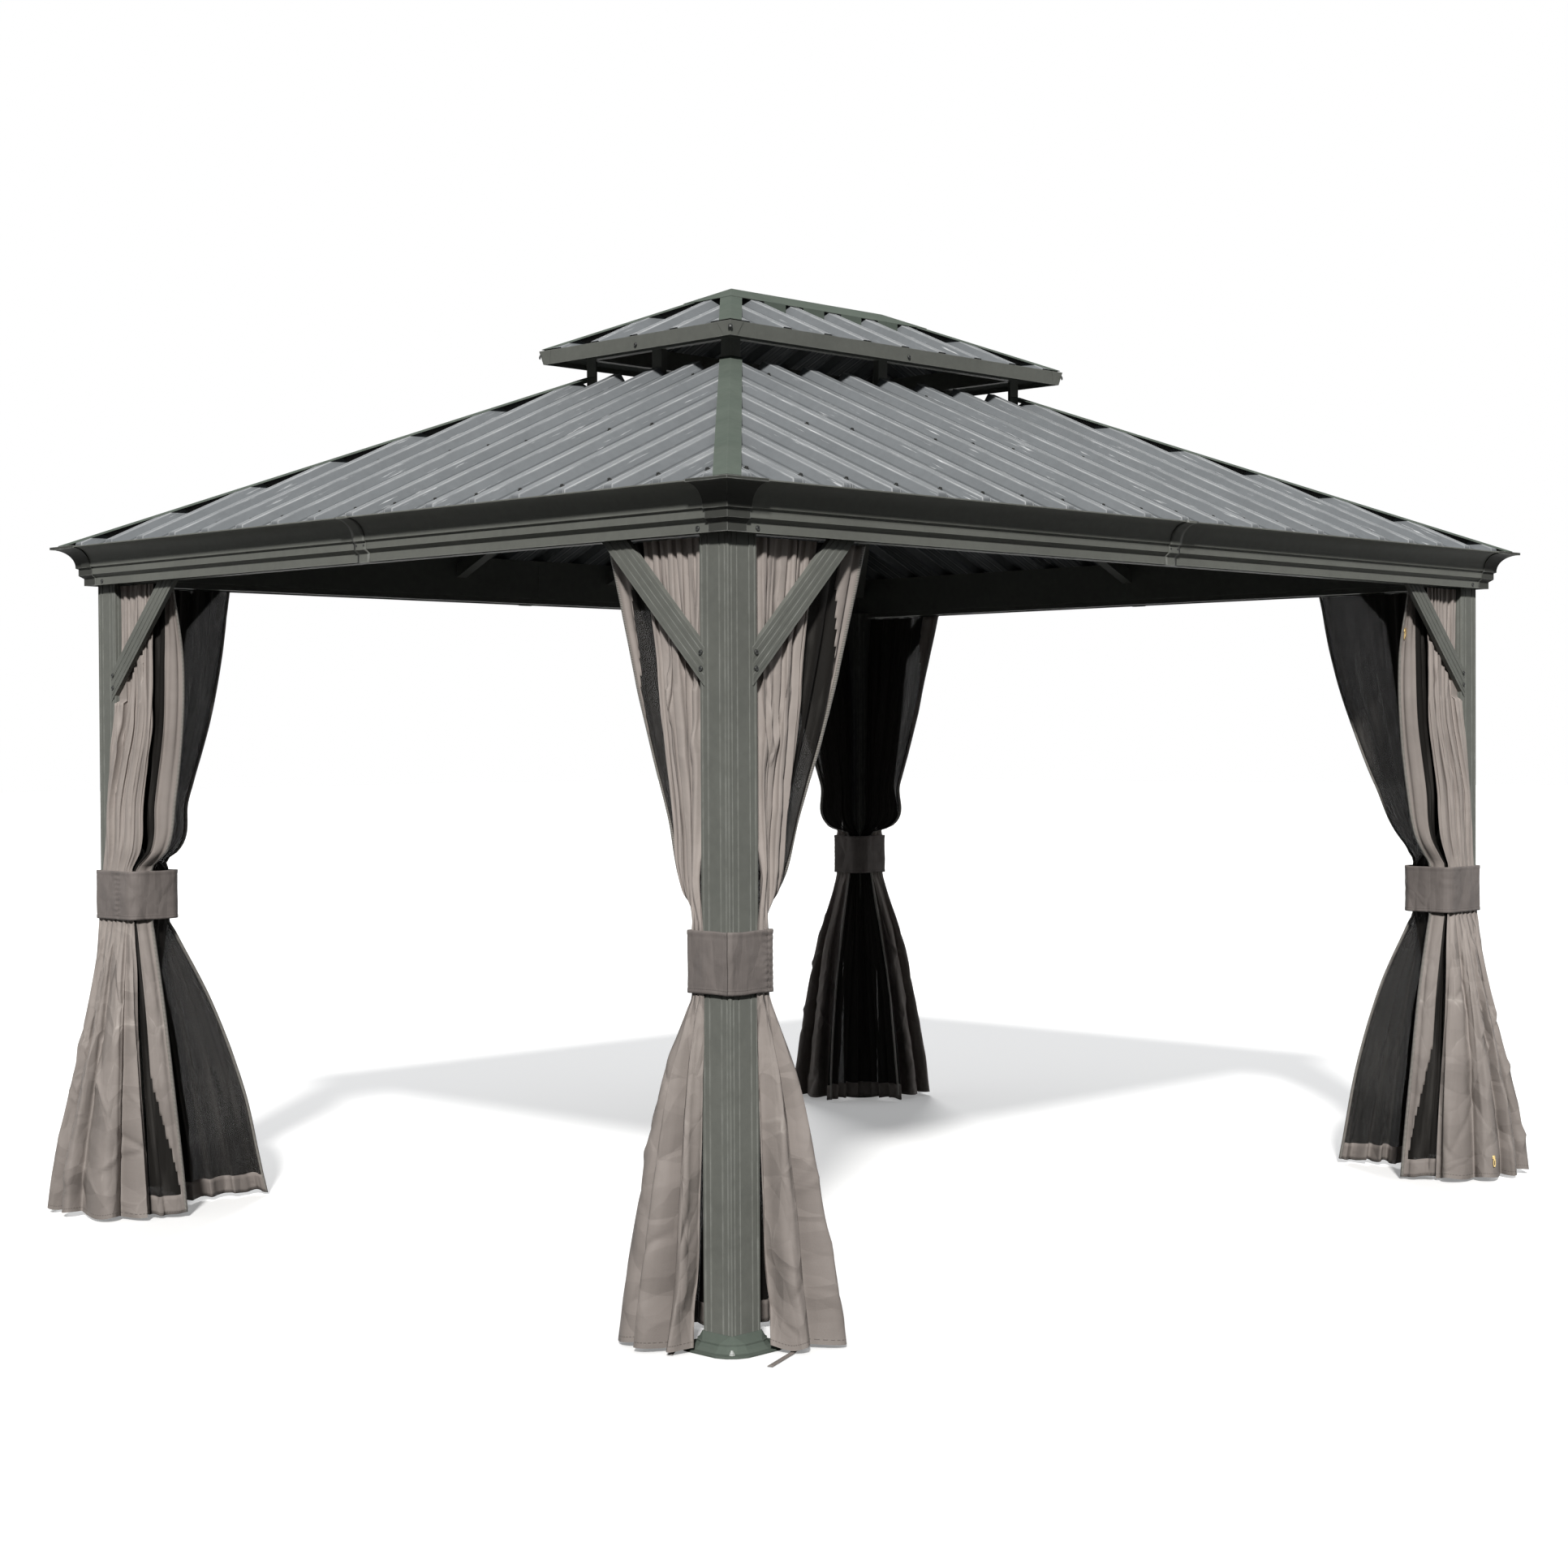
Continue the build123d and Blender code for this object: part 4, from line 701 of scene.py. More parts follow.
def clear_of_post(a, b, z):
    """Pushes cloth off the post, its foot and the knee brace."""
    deep_a, deep_b = a - POST_FAR, POST_NEAR - b
    inside = (a < POST_FAR) & (b > POST_NEAR) & (b < POST_FAR)
    a = np.where(inside & (deep_a >= deep_b), POST_FAR + DEPTH_KEPT * deep_a, a)
    b = np.where(inside & (deep_a < deep_b), POST_NEAR - DEPTH_KEPT * deep_b, b)
    far, near = FOOT_IN + FOOT_ROOM, FOOT_OUT - FOOT_ROOM
    low = (a < far) & (b > near) & (b < FOOT_IN) & (z < FOOT_TOP)
    inward = far - a < b - near
    a = np.where(low & inward, far, a)
    b = np.where(low & ~inward, near, b)
    return a, np.where((z > BRACE_LOW) & (b < BRACE_IN), BRACE_IN - DEPTH_KEPT * (BRACE_IN - b), b)


def fold_marks(rng, folds, narrow, wide):
    """Shares of a wing's width at which its folds begin, of random widths."""
    widths = rng.uniform(narrow, wide, folds)
    return np.concatenate([[0], np.cumsum(widths)]) / widths.sum()


def ridged(turn):
    """Rounded ridges with sharp valleys between them, one for each whole turn."""
    return 2 * (np.cos(np.pi * turn) ** 2 + 0.012) ** 0.42 - 1


def creases(rng, ss, zz, wide, count):
    """Short straight creases across the cloth, steeper above the band than below it."""
    height = np.zeros_like(ss)
    for _ in range(count):
        cs, cz = rng.uniform(0.02, 0.98), rng.uniform(0.03, 1.85)
        below = cz < 0.85
        lean = rng.choice([-1, 1]) * (rng.uniform(0.35, 1.25) if below else rng.uniform(0.95, 1.45))
        ds, dz = (ss - cs) * wide, zz - cz
        along = ds * math.cos(lean) + dz * math.sin(lean)
        off = -ds * math.sin(lean) + dz * math.cos(lean)
        size = rng.choice([-1, 1]) * rng.uniform(0.35, 1.0) * (1.3 if below else 0.4)
        height += size * np.exp(-np.abs(off) / 0.010 - (along / rng.uniform(0.03, 0.11)) ** 2)
    return height


def swags(rng, ss, zz, count):
    """Loops of slack cloth that sag between the post and the fold beyond it."""
    height = np.zeros_like(ss)
    for _ in range(count):
        middle, half, low = rng.uniform(0.12, 0.8), rng.uniform(0.10, 0.22), rng.uniform(1.15, 1.72)
        share = (ss - middle) / half
        line = low + rng.uniform(0.16, 0.34) * share ** 2
        height += rng.uniform(0.5, 1.0) * np.exp(-((zz - line) / 0.030) ** 2 - (share / 0.8) ** 4)
    return height


def wing_rows(rows, tie, sizes, reach, flare):
    """Levels, path points and fold depths of a wing, with a row more just above and just below its band."""
    half = sizes.band_high / 2 + BAND_ROOM
    named = {"top": sizes.top, "above": tie + half, "below": tie - half, "hem": sizes.hem}
    levels = np.array([named[row[0]] if row[0] in named else row[0] / 1000 for row in rows])
    points, depths = (np.array([row[k] for row in rows]) / 1000 for k in (1, 2))
    scale = np.select([levels > 1.2, levels > 1.03, levels < 0.7], [reach, (1 + reach) / 2, flare], 1)
    beyond = np.where(points[:, :, 0] > STRETCH_FROM, scale[:, None], 1)
    points[:, :, 0] = STRETCH_FROM + (points[:, :, 0] - STRETCH_FROM) * beyond
    band = [row[0] for row in rows].index("above")
    apart = 0.03
    for at, step, after in ((band + 1, -apart, band + 2), (band, apart, band - 1)):
        share = step / (levels[after] - levels[at])
        new = max(at, after)
        points = np.insert(points, new, points[at] + (points[after] - points[at]) * share, axis=0)
        depths = np.insert(depths, new, depths[at] + (depths[after] - depths[at]) * share, axis=0)
        levels = np.insert(levels, new, levels[at] + step)
    return levels, points, depths


def wing_grid(rows, tie, sizes, seed, reach, flare, widest, nearest, is_net):
    """Corner-frame points of one hanging wing, gathered at its band, as (rows, columns, 3), and its flat sizes."""
    rng = np.random.default_rng(seed)
    levels, points, depths = wing_rows(rows, tie, sizes, reach, flare)
    share = NET_SHARE if is_net else 1.0
    t, s = np.linspace(0, 1, int(sizes.down * share)), np.linspace(0, 1, int(sizes.across * share))
    z = sizes.top + (sizes.hem - sizes.top) * t
    base = path_through(eased(levels, points, z), s)
    deep = eased(levels, depths, z)
    fine, broad = deep[:, :1], deep[:, 1:]
    way = np.gradient(base, axis=1)
    way /= np.linalg.norm(way, axis=2, keepdims=True) + 1e-9
    out = np.stack([way[:, :, 1], -way[:, :, 0]], axis=2)
    ss, tt = np.meshgrid(s, t)
    zz = np.broadcast_to(z[:, None], ss.shape).copy()
    small = np.interp(ss + 0.010 * smooth_noise(rng, ss, tt, 4, 4), fold_marks(rng, 7, 0.6, 1.6), np.arange(8))
    large = np.interp(ss + 0.030 * smooth_noise(rng, ss, tt, 3, 3), fold_marks(rng, 4, 0.6, 1.5), np.arange(5))
    large = large + 0.5 + 0.12 * smooth_noise(rng, ss, tt, 3, 4)
    uneven = 1 + 0.5 * smooth_noise(rng, ss, tt, 9, 5)
    push = fine * uneven * ridged(small) + broad * ridged(large)
    push = np.where(push < 0, push * np.clip(ss / 0.10, 0, 1), push)
    ends = np.clip(np.minimum(ss, 1 - ss) / 0.06, 0, 1)
    lean = ends * (0.35 * fine * np.sin(4 * np.pi * small) + 0.72 * broad * ridged(large))
    slack = np.clip((fine + broad) / 0.012, 0.15, 1.6)
    crumple = 0.4 - np.abs(smooth_noise(rng, ss, tt, 8, 13))
    push = push + slack * (CRUMPLE_DEEP * crumple + GRAIN_DEEP * smooth_noise(rng, ss, tt, 20, 40))
    if not is_net:
        push = push + slack * CREASE_DEEP * creases(rng, ss, zz, 0.6, CREASES)
        push = push + slack * SWAG_DEEP * swags(rng, ss, zz, SWAGS)
    plan = base + out * push[:, :, None] + way * lean[:, :, None]
    zz += HEM_WAVE * smooth_noise(rng, ss, np.zeros_like(tt), 9, 1) * tt ** 8
    a, b = plan[:, :, 0], plan[:, :, 1]
    held = np.exp(-(np.clip(np.abs(zz - tie) - sizes.band_high / 2, 0, None) / BAND_EASE) ** 2)
    a = a - BAND_GRIP * held * np.clip(a - widest, 0, None)
    b = b + BAND_GRIP * held * np.clip(nearest - b, 0, None)
    if is_net:
        a = np.maximum(a, POST_FAR)
    else:
        a, b = clear_of_post(a, b, zz)
    grid = np.stack([a, b, np.maximum(zz, sizes.hem - HEM_WAVE)], axis=2)
    lengths = np.linalg.norm(np.diff(grid, axis=1), axis=2).sum(axis=1)
    return grid, (float(np.quantile(lengths, 0.6)), sizes.top - sizes.hem)


def grid_uv(grid, flat):
    """UV of a grid of points in metres of its flat cloth, upwards from the hem."""
    rows, columns = grid.shape[:2]
    u, v = np.meshgrid(np.linspace(0, flat[0], columns), np.linspace(flat[1], 0, rows))
    return np.stack([u.ravel(), v.ravel()], axis=1)


def tie_level(corner):
    """Middle of a corner's tie band, from the frame's own bands."""
    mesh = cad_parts["tie_bands"].data
    ox, oy, _ = CORNERS[corner]
    levels = [v.co.z for v in mesh.vertices if abs(v.co.x - ox) < 0.5 and abs(v.co.y - oy) < 0.5]
    return (min(levels) + max(levels)) / 2


def hung(kind, sizes, finish):
    """Hangs the eight wings of curtain or net, and gives each one's piece, points, flat size and lowest border."""
    is_net = kind == "net"
    for corner, side, swap, shape, seed, *reaches, flare in WINGS:
        *rows, widest, nearest, low = SHAPES[shape]
        grid, flat = wing_grid(rows[is_net], tie_level(corner), sizes, seed + 500 * is_net, reaches[is_net], flare,
                               widest, nearest, is_net)
        points = to_world(corner, swap, grid)
        piece = new_piece(f"{kind}_{corner}_{side}", sheet_of(points), finish, grid_uv(grid, flat))
        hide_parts(kind + "_" + corner)
        yield piece, points, flat, low


# Operators

class GAZEBO_OT_stage(bpy.types.Operator):
    """Floor, even light, two lamps and the camera"""
    bl_idname = "gazebo.stage"
    bl_label = "Stage"

    def execute(self, context):
        scene, stage = context.scene, context.scene.gazebo_stage
        scene.view_settings.view_transform = "Standard"
        self.floor(scene, stage)
        self.sky(scene, stage)
        self.lamp(scene, "key", stage.key, (1.0, 0.985, 0.96), 222.0, 34.0, 5.0)
        fill = self.lamp(scene, "fill", stage.fill, (1, 1, 1), 50.0, 32.0, 20.0)
        fill.visible_glossy = False
        self.camera(scene, stage)
        return {"FINISHED"}

    def surface(self, n, output, hidden, shown):
        """Shows one shader to the camera, in gloss and through glass, and lights the object by another."""
        path = n.add("LightPath").outputs
        seen = n.maths("MAXIMUM", path["Is Camera Ray"], path["Is Glossy Ray"])
        seen = n.maths("MAXIMUM", seen, path["Is Transmission Ray"])
        mix = n.listed("MixShader", (seen, hidden.outputs[0], shown.outputs[0]))
        n.put(n.add(output), Surface=mix[0])

    def floor(self, scene, stage):
        size, level = 60.0, -0.0005
        mesh = bpy.data.meshes.new("floor")
        mesh.from_pydata([(x * size, y * size, level) for x, y in ((-1, -1), (1, -1), (1, 1), (-1, 1))], [],
                         [(0, 1, 2, 3)])
        floor = bpy.data.objects.new("floor", mesh)
        scene.collection.objects.link(floor)
        finish = bpy.data.materials.new("Pale floor")
        n = emptied(finish)
        pale = n.add("AddShader")
        n.feed(pale.inputs[0], n.add("BsdfDiffuse", Color=stage.floor).outputs[0])
        n.feed(pale.inputs[1], n.add("Emission", Color=(1, 1, 1), Strength=0.25).outputs[0])
        dull = n.add("BsdfDiffuse", Color=(0.025, 0.025, 0.024))
        self.surface(n, "OutputMaterial", dull, pale)
        mesh.materials.append(finish)

    def sky(self, scene, stage):
        scene.world = bpy.data.worlds.new("Even light")
        n = emptied(scene.world)
        up = n.parts(n.add("TexCoord").outputs["Generated"])["Z"]
        even = n.add("Background", Color=(0.95, 0.975, 1.0),
                     Strength=n.ranged(up, 0.1, 0.9, stage.horizon, stage.sky))
        white = n.add("Background", Color=(1, 1, 1), Strength=1.0)
        self.surface(n, "OutputWorld", even, white)

    def lamp(self, scene, name, energy, tint, heading, height, soft):
        """A sun at a heading and a height, as wide as soft, all in degrees."""
        lamp = bpy.data.lights.new(name, "SUN")
        lamp.energy, lamp.color, lamp.angle = energy, tint, math.radians(soft)
        holder = bpy.data.objects.new(name, lamp)
        scene.collection.objects.link(holder)
        towards = bearing(math.radians(heading), math.radians(height))
        holder.location = towards * 8
        holder.rotation_mode = "QUATERNION"
        holder.rotation_quaternion = towards.to_track_quat("Z", "Y")
        return holder

    def camera(self, scene, stage):
        eye = bpy.data.cameras.new("camera")
        eye.lens, eye.sensor_width, eye.clip_end = stage.lens, 36, 200
        camera = bpy.data.objects.new("camera", eye)
        scene.collection.objects.link(camera)
        ahead = bearing(stage.heading, stage.tilt)
        right = Vector((math.sin(stage.heading), -math.cos(stage.heading), 0))
        up = right.cross(ahead)
        c, s = math.cos(stage.roll), math.sin(stage.roll)
        right, up = right * c + up * s, up * c - right * s
        turn = Matrix((right, up, -ahead)).transposed().to_4x4()
        camera.matrix_world = Matrix.Translation(Vector(stage.eye)) @ turn
        scene.camera = camera


class GAZEBO_OT_coatings(bpy.types.Operator):
    """All finishes, put on the frame's own pieces"""
    bl_idname = "gazebo.coatings"
    bl_label = "Coatings"

    def execute(self, context):
        finish = context.scene.gazebo_finish
        for group in (coat_group, scuff_and_highlight_group, dust_and_shade_group, weave_group, streak_group):
            group()
        coated("Frame powder coat", finish.frame_coat, 0.20, (0.40, 0.56), 0.42, (0.12, 0.06))
        # Edge amount 0.95 on the covers: mostly painted highlight along their edges
        coated("Cover powder coat", finish.cover_coat, 0.16, (0.40, 0.56), 0.95, (0.05, 0.0), 0.02)
        coated("Cap powder coat", finish.cap_coat, 0.16, (0.42, 0.56), 0.16, (0.05, 0.0), 0.0)
        roof_sheet_material(finish.roof_coat)
        cloth_material("Curtain cloth", finish.curtain, 0.0011, 0.16, 0.012, 1.0)
        # Strong light and dark mottling of the band: partly random tone, partly painted sheen
        cloth_material("Band cloth", finish.band, 0.0012, 0.34, 0.010, 0.5)
        cloth_material("Border cloth", tuple(c * 0.86 for c in finish.curtain), 0.0012, 0.22, 0.006, 0.7)
        net_material(finish.net)
        fitting_material("Black screw", finish.screw, 0.35, 0.30, 0.55)
        fitting_material("Closure foam", finish.hip_shade, 0.0, 0.75, 0.92)
        fitting_material("Zinc bolt", finish.zinc, 0.4, 0.35, 0.55)
        fitting_material("Brass pull", finish.brass, 1.0, 0.22, 0.42)
        zip_material()
        for name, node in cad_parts.items():
            for coat, starts in COATS:
                if name.startswith(starts):
                    node.data.materials.clear()
                    node.data.materials.append(material(coat))
        return {"FINISHED"}


class GAZEBO_OT_valley_beads(bpy.types.Operator):
    """Two low beads along each valley of the ribbed sheets"""
    bl_idname = "gazebo.valley_beads"
    bl_label = "Valley beads"

    def execute(self, context):
        profile = ((-0.0065, 0.0), (-0.0042, 0.0026), (0.0, 0.0037), (0.0042, 0.0026), (0.0065, 0.0))
        shift, hip_room, shortest, vent, ridge_room, ridge_end = 0.019, 0.030, 0.03, 1.160, 0.020, 0.36
        shell = Shell()
        for side, (_, run, out, upper_run, upper_out) in SIDES.items():
            top = out - upper_out
            ridge = out - (ridge_room if run == EAVE_X else ridge_end)
            for base, first, last, half in (
                    (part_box("lower_roof_" + side)[0].z, LOWER_EDGE, vent, run),
                    (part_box("upper_roof_" + side)[0].z, top + UPPER_EDGE, ridge, upper_run + top)):
                count = int(half / RIB_PITCH) + 1
                for along in [(k + 0.5) * RIB_PITCH + s for k in range(-count, count) for s in (-shift, shift)]:
                    end = min(last, half - abs(along) - hip_room)
                    if end - first >= shortest:
                        shell.strip([on_side(side, along + across, inward,
                                             base + SHEET_RISE + (inward - first) * SLOPE + high)
                                     for inward in (first + 0.001, end) for across, high in profile],
                                    len(profile), True, True)
        new_piece("valley_beads", shell, "Roof sheet coat", sharp=60)
        return {"FINISHED"}


class GAZEBO_OT_rib_ends(bpy.types.Operator):
    """Pressed ends that close the ribs of the lower sheets at the eaves"""
    bl_idname = "gazebo.rib_ends"
    bl_label = "Rib ends"

    def execute(self, context):
        rise = (RIB_HIGH + SHEET) / math.cos(ROOF_PITCH) - 0.0006
        foot, narrowing, face, bulge, hip_room = 0.0366, 0.0200, 0.0392, 0.0016, 0.085
        rows, columns = 6, 7
        shell = Shell()
        for side, (_, run, *_) in SIDES.items():
            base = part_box("lower_roof_" + side)[0].z + 0.0003
            count = int(run / RIB_PITCH) + 1
            for middle in [k * RIB_PITCH for k in range(-count, count + 1)]:
                if run - abs(middle) < hip_room:
                    continue
                points = []
                for t in np.linspace(0, 1, rows):
                    half = foot - narrowing * t
                    for across in np.linspace(-half, half, columns):
                        out = bulge * (1 - (across / half) ** 4) * (1 - (2 * t - 1) ** 4)
                        points.append(on_side(side, middle + across, face - out, base + rise * t))
                shell.strip(points, columns)
        thickened(new_piece("rib_ends", shell, "Roof sheet coat", sharp=50), 0.0006)
        return {"FINISHED"}


class GAZEBO_OT_hip_shade_strips(bpy.types.Operator):
    """Near-black strips that fill the hips between the sheets and their caps: painted shade in the gaps under the caps
    """
    bl_idname = "gazebo.hip_closures"
    bl_label = "Hip shade strips"

    def execute(self, context):
        lower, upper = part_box("lower_roof_front")[0].z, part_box("upper_roof_front")[0].z
        start, squeeze = 0.004, 0.0006
        section = ((-0.0032, -0.001), (-0.0032, 0.022), (-0.0018, 0.0262), (0.0018, 0.0262), (0.0032, 0.022),
                   (0.0032, -0.001))
        shell = Shell()
        for wide, deep, base, edge, last in ((EAVE_X, EAVE_Y, lower, LOWER_EDGE, 1.150),
                                             (UPPER_X, UPPER_Y, upper, UPPER_EDGE, 0.335)):
            for sx, sy in SIGNS:
                points = []
                for k, run in enumerate(np.linspace(edge + start, last, 40)):
                    squash = squeeze * math.sin(k * 1.7)
                    level = base + (run - edge) * SLOPE + min(0, squash)
                    for off, high in section:
                        off *= 1 + 60 * squash
                        points.append((sx * (wide - run + off), sy * (deep - run - off), level + high))
                shell.strip(points, len(section), True, True)
        new_piece("hip_closures", shell, "Closure foam", sharp=40)
        return {"FINISHED"}


class GAZEBO_OT_splice_straps(bpy.types.Operator):
    """Cover straps over the joints in the middle of the eave beams"""
    bl_idname = "gazebo.splice_straps"
    bl_label = "Splice straps"

    def execute(self, context):
        d, half, columns, cove = 0.0012, 0.027, 5, 0.0545
        line = [(0.010, 2.0272), (-d, 2.0272), (-d, 2.023 - d)]
        line += [(0.001 - d + cove * math.cos(t), 1.9685 - d + cove * math.sin(t))
                 for t in np.linspace(math.pi / 2, 0, 14)]
        line += [(inward - d, z - d) for inward, z in ((0.0555, 1.966), (0.062, 1.963), (0.062, 1.943),
                                                       (0.074, 1.934), (0.074, 1.910), (0.081 + d, 1.910))]
        shell, spots = Shell(), []
        for side, middle in (("front", -0.020), ("right", 0.0), ("back", 0.0), ("left", 0.018)):
            shell.strip([on_side(side, middle + along, inward, z) for inward, z in line
                         for along in np.linspace(-half, half, columns)], columns)
            spots += [(on_side(side, middle + shift, 0.062 - d, 1.953), side_way(side, 0, -1, 0))
                      for shift in (-0.016, 0.016)]
        thickened(new_piece("splice_straps", shell, "Frame powder coat", sharp=30), 0.0010)
        head = ((0.0030, 0), (0.0030, 0.0008), (0.0024, 0.0018), (0.0012, 0.0020), (0.0010, 0.0012))
        new_piece("splice_screws", lathed(spots, head), "Black screw", sharp=40)
        return {"FINISHED"}


class GAZEBO_OT_roof_screws(bpy.types.Operator):
    """Washer-head screws in rows along the eaves, across the slopes and at the vent"""
    bl_idname = "gazebo.roof_screws"
    bl_label = "Roof screws"

    def execute(self, context):
        sizes = context.scene.gazebo_fasteners
        rng = np.random.default_rng(5)
        pattern, vent_row, off_rib, hip_room, stray = (1, 0, 1, 1, 0, 1, 1), 1.10, 0.046, 0.05, 0.006
        spots = []
        for side, (_, run, *_) in SIDES.items():
            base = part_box("lower_roof_" + side)[0].z + SHEET_RISE
            normal = side_way(side, 0, -math.sin(ROOF_PITCH), math.cos(ROOF_PITCH))
            count = int(run / RIB_PITCH) + 1
            beside = -off_rib if side in ("front", "right") else off_rib
            for k in range(-count, count + 1):
                for inward, use in ((sizes.eave_row, True), (sizes.middle_row, pattern[k % 7]), (vent_row, k % 4 == 1)):
                    along = k * RIB_PITCH + beside + rng.uniform(-stray / 2, stray / 2)
                    inward = inward + rng.uniform(-stray, stray)
                    if use and run - abs(along) - inward > hip_room:
                        spots.append((on_side(side, along, inward, base + (inward - LOWER_EDGE) * SLOPE), normal))
        w = sizes.roof_washer
        profile = ((w, 0), (w, 0.0010), (w * 0.92, 0.0017), (w * 0.60, 0.0019), (w * 0.57, 0.0052), (w * 0.46, 0.0060),
                   (w * 0.22, 0.0060), (w * 0.18, 0.0046))
        new_piece("roof_screws", lathed(spots, profile), "Black screw", sharp=40)
        return {"FINISHED"}


class GAZEBO_OT_frame_bolts(bpy.types.Operator):
    """Bolts of the eave beams, knee braces, edge trims and feet"""
    bl_idname = "gazebo.frame_bolts"
    bl_label = "Frame bolts"

    def execute(self, context):
        spots, anchors = [], []
        holes, plate = (0.075, 0.223), 0.005
        on_beam, on_braces = (0.172, 0.0738, 1.921), ((0.1885, 0.0970, 1.634), (0.1885, 0.0970, 1.596))
        trim_in, trim_level, plate_in, plate_level = 0.0052, 2.598, 0.0016, 2.606
        for corner, (_, _, degrees) in CORNERS.items():
            anchors += [(to_world(corner, False, np.array((a, b, plate))), (0, 0, 1)) for a in holes for b in holes]
            for swap in (False, True):
                normal = (*turned(*((-1, 0) if swap else (0, -1)), degrees), 0)
                spots += [(to_world(corner, swap, np.array(at)), normal)
                          for at in (on_beam, *on_braces)]
        for side, (_, _, out, _, upper_out) in SIDES.items():
            spots.append((on_side(side, 0.012, out - upper_out + trim_in, trim_level), side_way(side, 0, -1, 0)))
        plates = [((sx * (UPPER_X - plate_in), sy * (UPPER_Y - plate_in), plate_level),
                   Vector((sx, sy, 0.3)).normalized()) for sx, sy in SIGNS]
        r = context.scene.gazebo_fasteners.bolt_head
        head = ((r, 0), (r, 0.0012), (r * 0.9, 0.0026), (r * 0.62, 0.0036), (r * 0.36, 0.0039), (r * 0.30, 0.0024))
        large = [(radius * 1.15, height * 1.3) for radius, height in head]
        nut = ((0.0074, 0), (0.0074, 0.0010), (0.0060, 0.0012), (0.0060, 0.0058), (0.0050, 0.0066), (0.0034, 0.0066),
               (0.0034, 0.0102), (0.0026, 0.0110))
        new_piece("frame_bolts", lathed(spots, head), "Black screw", sharp=40)
        new_piece("corner_plate_screws", lathed(plates, large), "Black screw", sharp=40)
        new_piece("anchor_bolts", lathed(anchors, nut, 6), "Zinc bolt", sharp=30)
        return {"FINISHED"}


class GAZEBO_OT_curtains(bpy.types.Operator):
    """Two gathered curtain wings at each corner"""
    bl_idname = "gazebo.curtains"
    bl_label = "Curtains"

    def execute(self, context):
        for piece, _, flat, _ in hung("curtain", context.scene.gazebo_cloth, "Curtain cloth"):
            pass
        return {"FINISHED"}


class GAZEBO_OT_nets(bpy.types.Operator):
    """Two gathered see-through net wings at each corner, with cloth borders and zips"""
    bl_idname = "gazebo.nets"
    bl_label = "Nets"

    def execute(self, context):
        sizes = context.scene.gazebo_cloth
        for net, points, flat, low in hung("net", sizes, "Net mesh"):
            edge = self.border(net.name, points, flat, sizes, low)
            teeth = self.zip_line(net.name, points, flat)
        return {"FINISHED"}

    def border(self, name, points, flat, sizes, low):
        """Cloth sewn along the net's hem and, down to a level, along its far edge."""
        rows, columns = points.shape[:2]
        wide = max(3, int(round(sizes.border / flat[0] * (columns - 1))) + 1)
        high = max(3, int(round(sizes.net_hem / flat[1] * (rows - 1))) + 1)
        slant = 0.035
        keep = np.zeros((rows - 1, columns - 1), bool)
        keep[:, columns - wide:] = points[:-1, columns - wide:-1, 2] > low + slant * np.arange(wide - 1)[::-1]
        keep[rows - high:, :] = True
        faces = np.array(grid_faces(rows, columns))[keep.ravel()]
        used, index = np.unique(faces, return_inverse=True)
        shell = Shell()
        shell.verts, shell.faces = points.reshape(-1, 3)[used], index.reshape(faces.shape).tolist()
        edge = new_piece(name.replace("net_", "net_border_"), shell, "Border cloth",
                         grid_uv(points, flat)[used])
        thickened(edge, 0.0024)
        return edge

    def zip_line(self, name, points, flat):
        """Zip tape along the net's far edge."""
        edge, inner = points[:, -1], points[:, -4]
        way = inner - edge
        way /= np.linalg.norm(way, axis=1, keepdims=True) + 1e-9
        side = np.cross(way, np.array([0.0, 0.0, 1.0]))
        section = ((-0.004, 0.0), (-0.001, 0.0032), (0.004, 0.0034), (0.007, 0.0), (0.004, -0.0034), (-0.001, -0.0032))
        rings = np.stack([edge + way * p + side * q for p, q in section], axis=1)
        shell = Shell().strip(rings.reshape(-1, 3), len(section), True, True)
        return new_piece(name.replace("net_", "net_zip_"), shell, "Zip tape", uv=grid_uv(rings, (0.02, flat[1])))


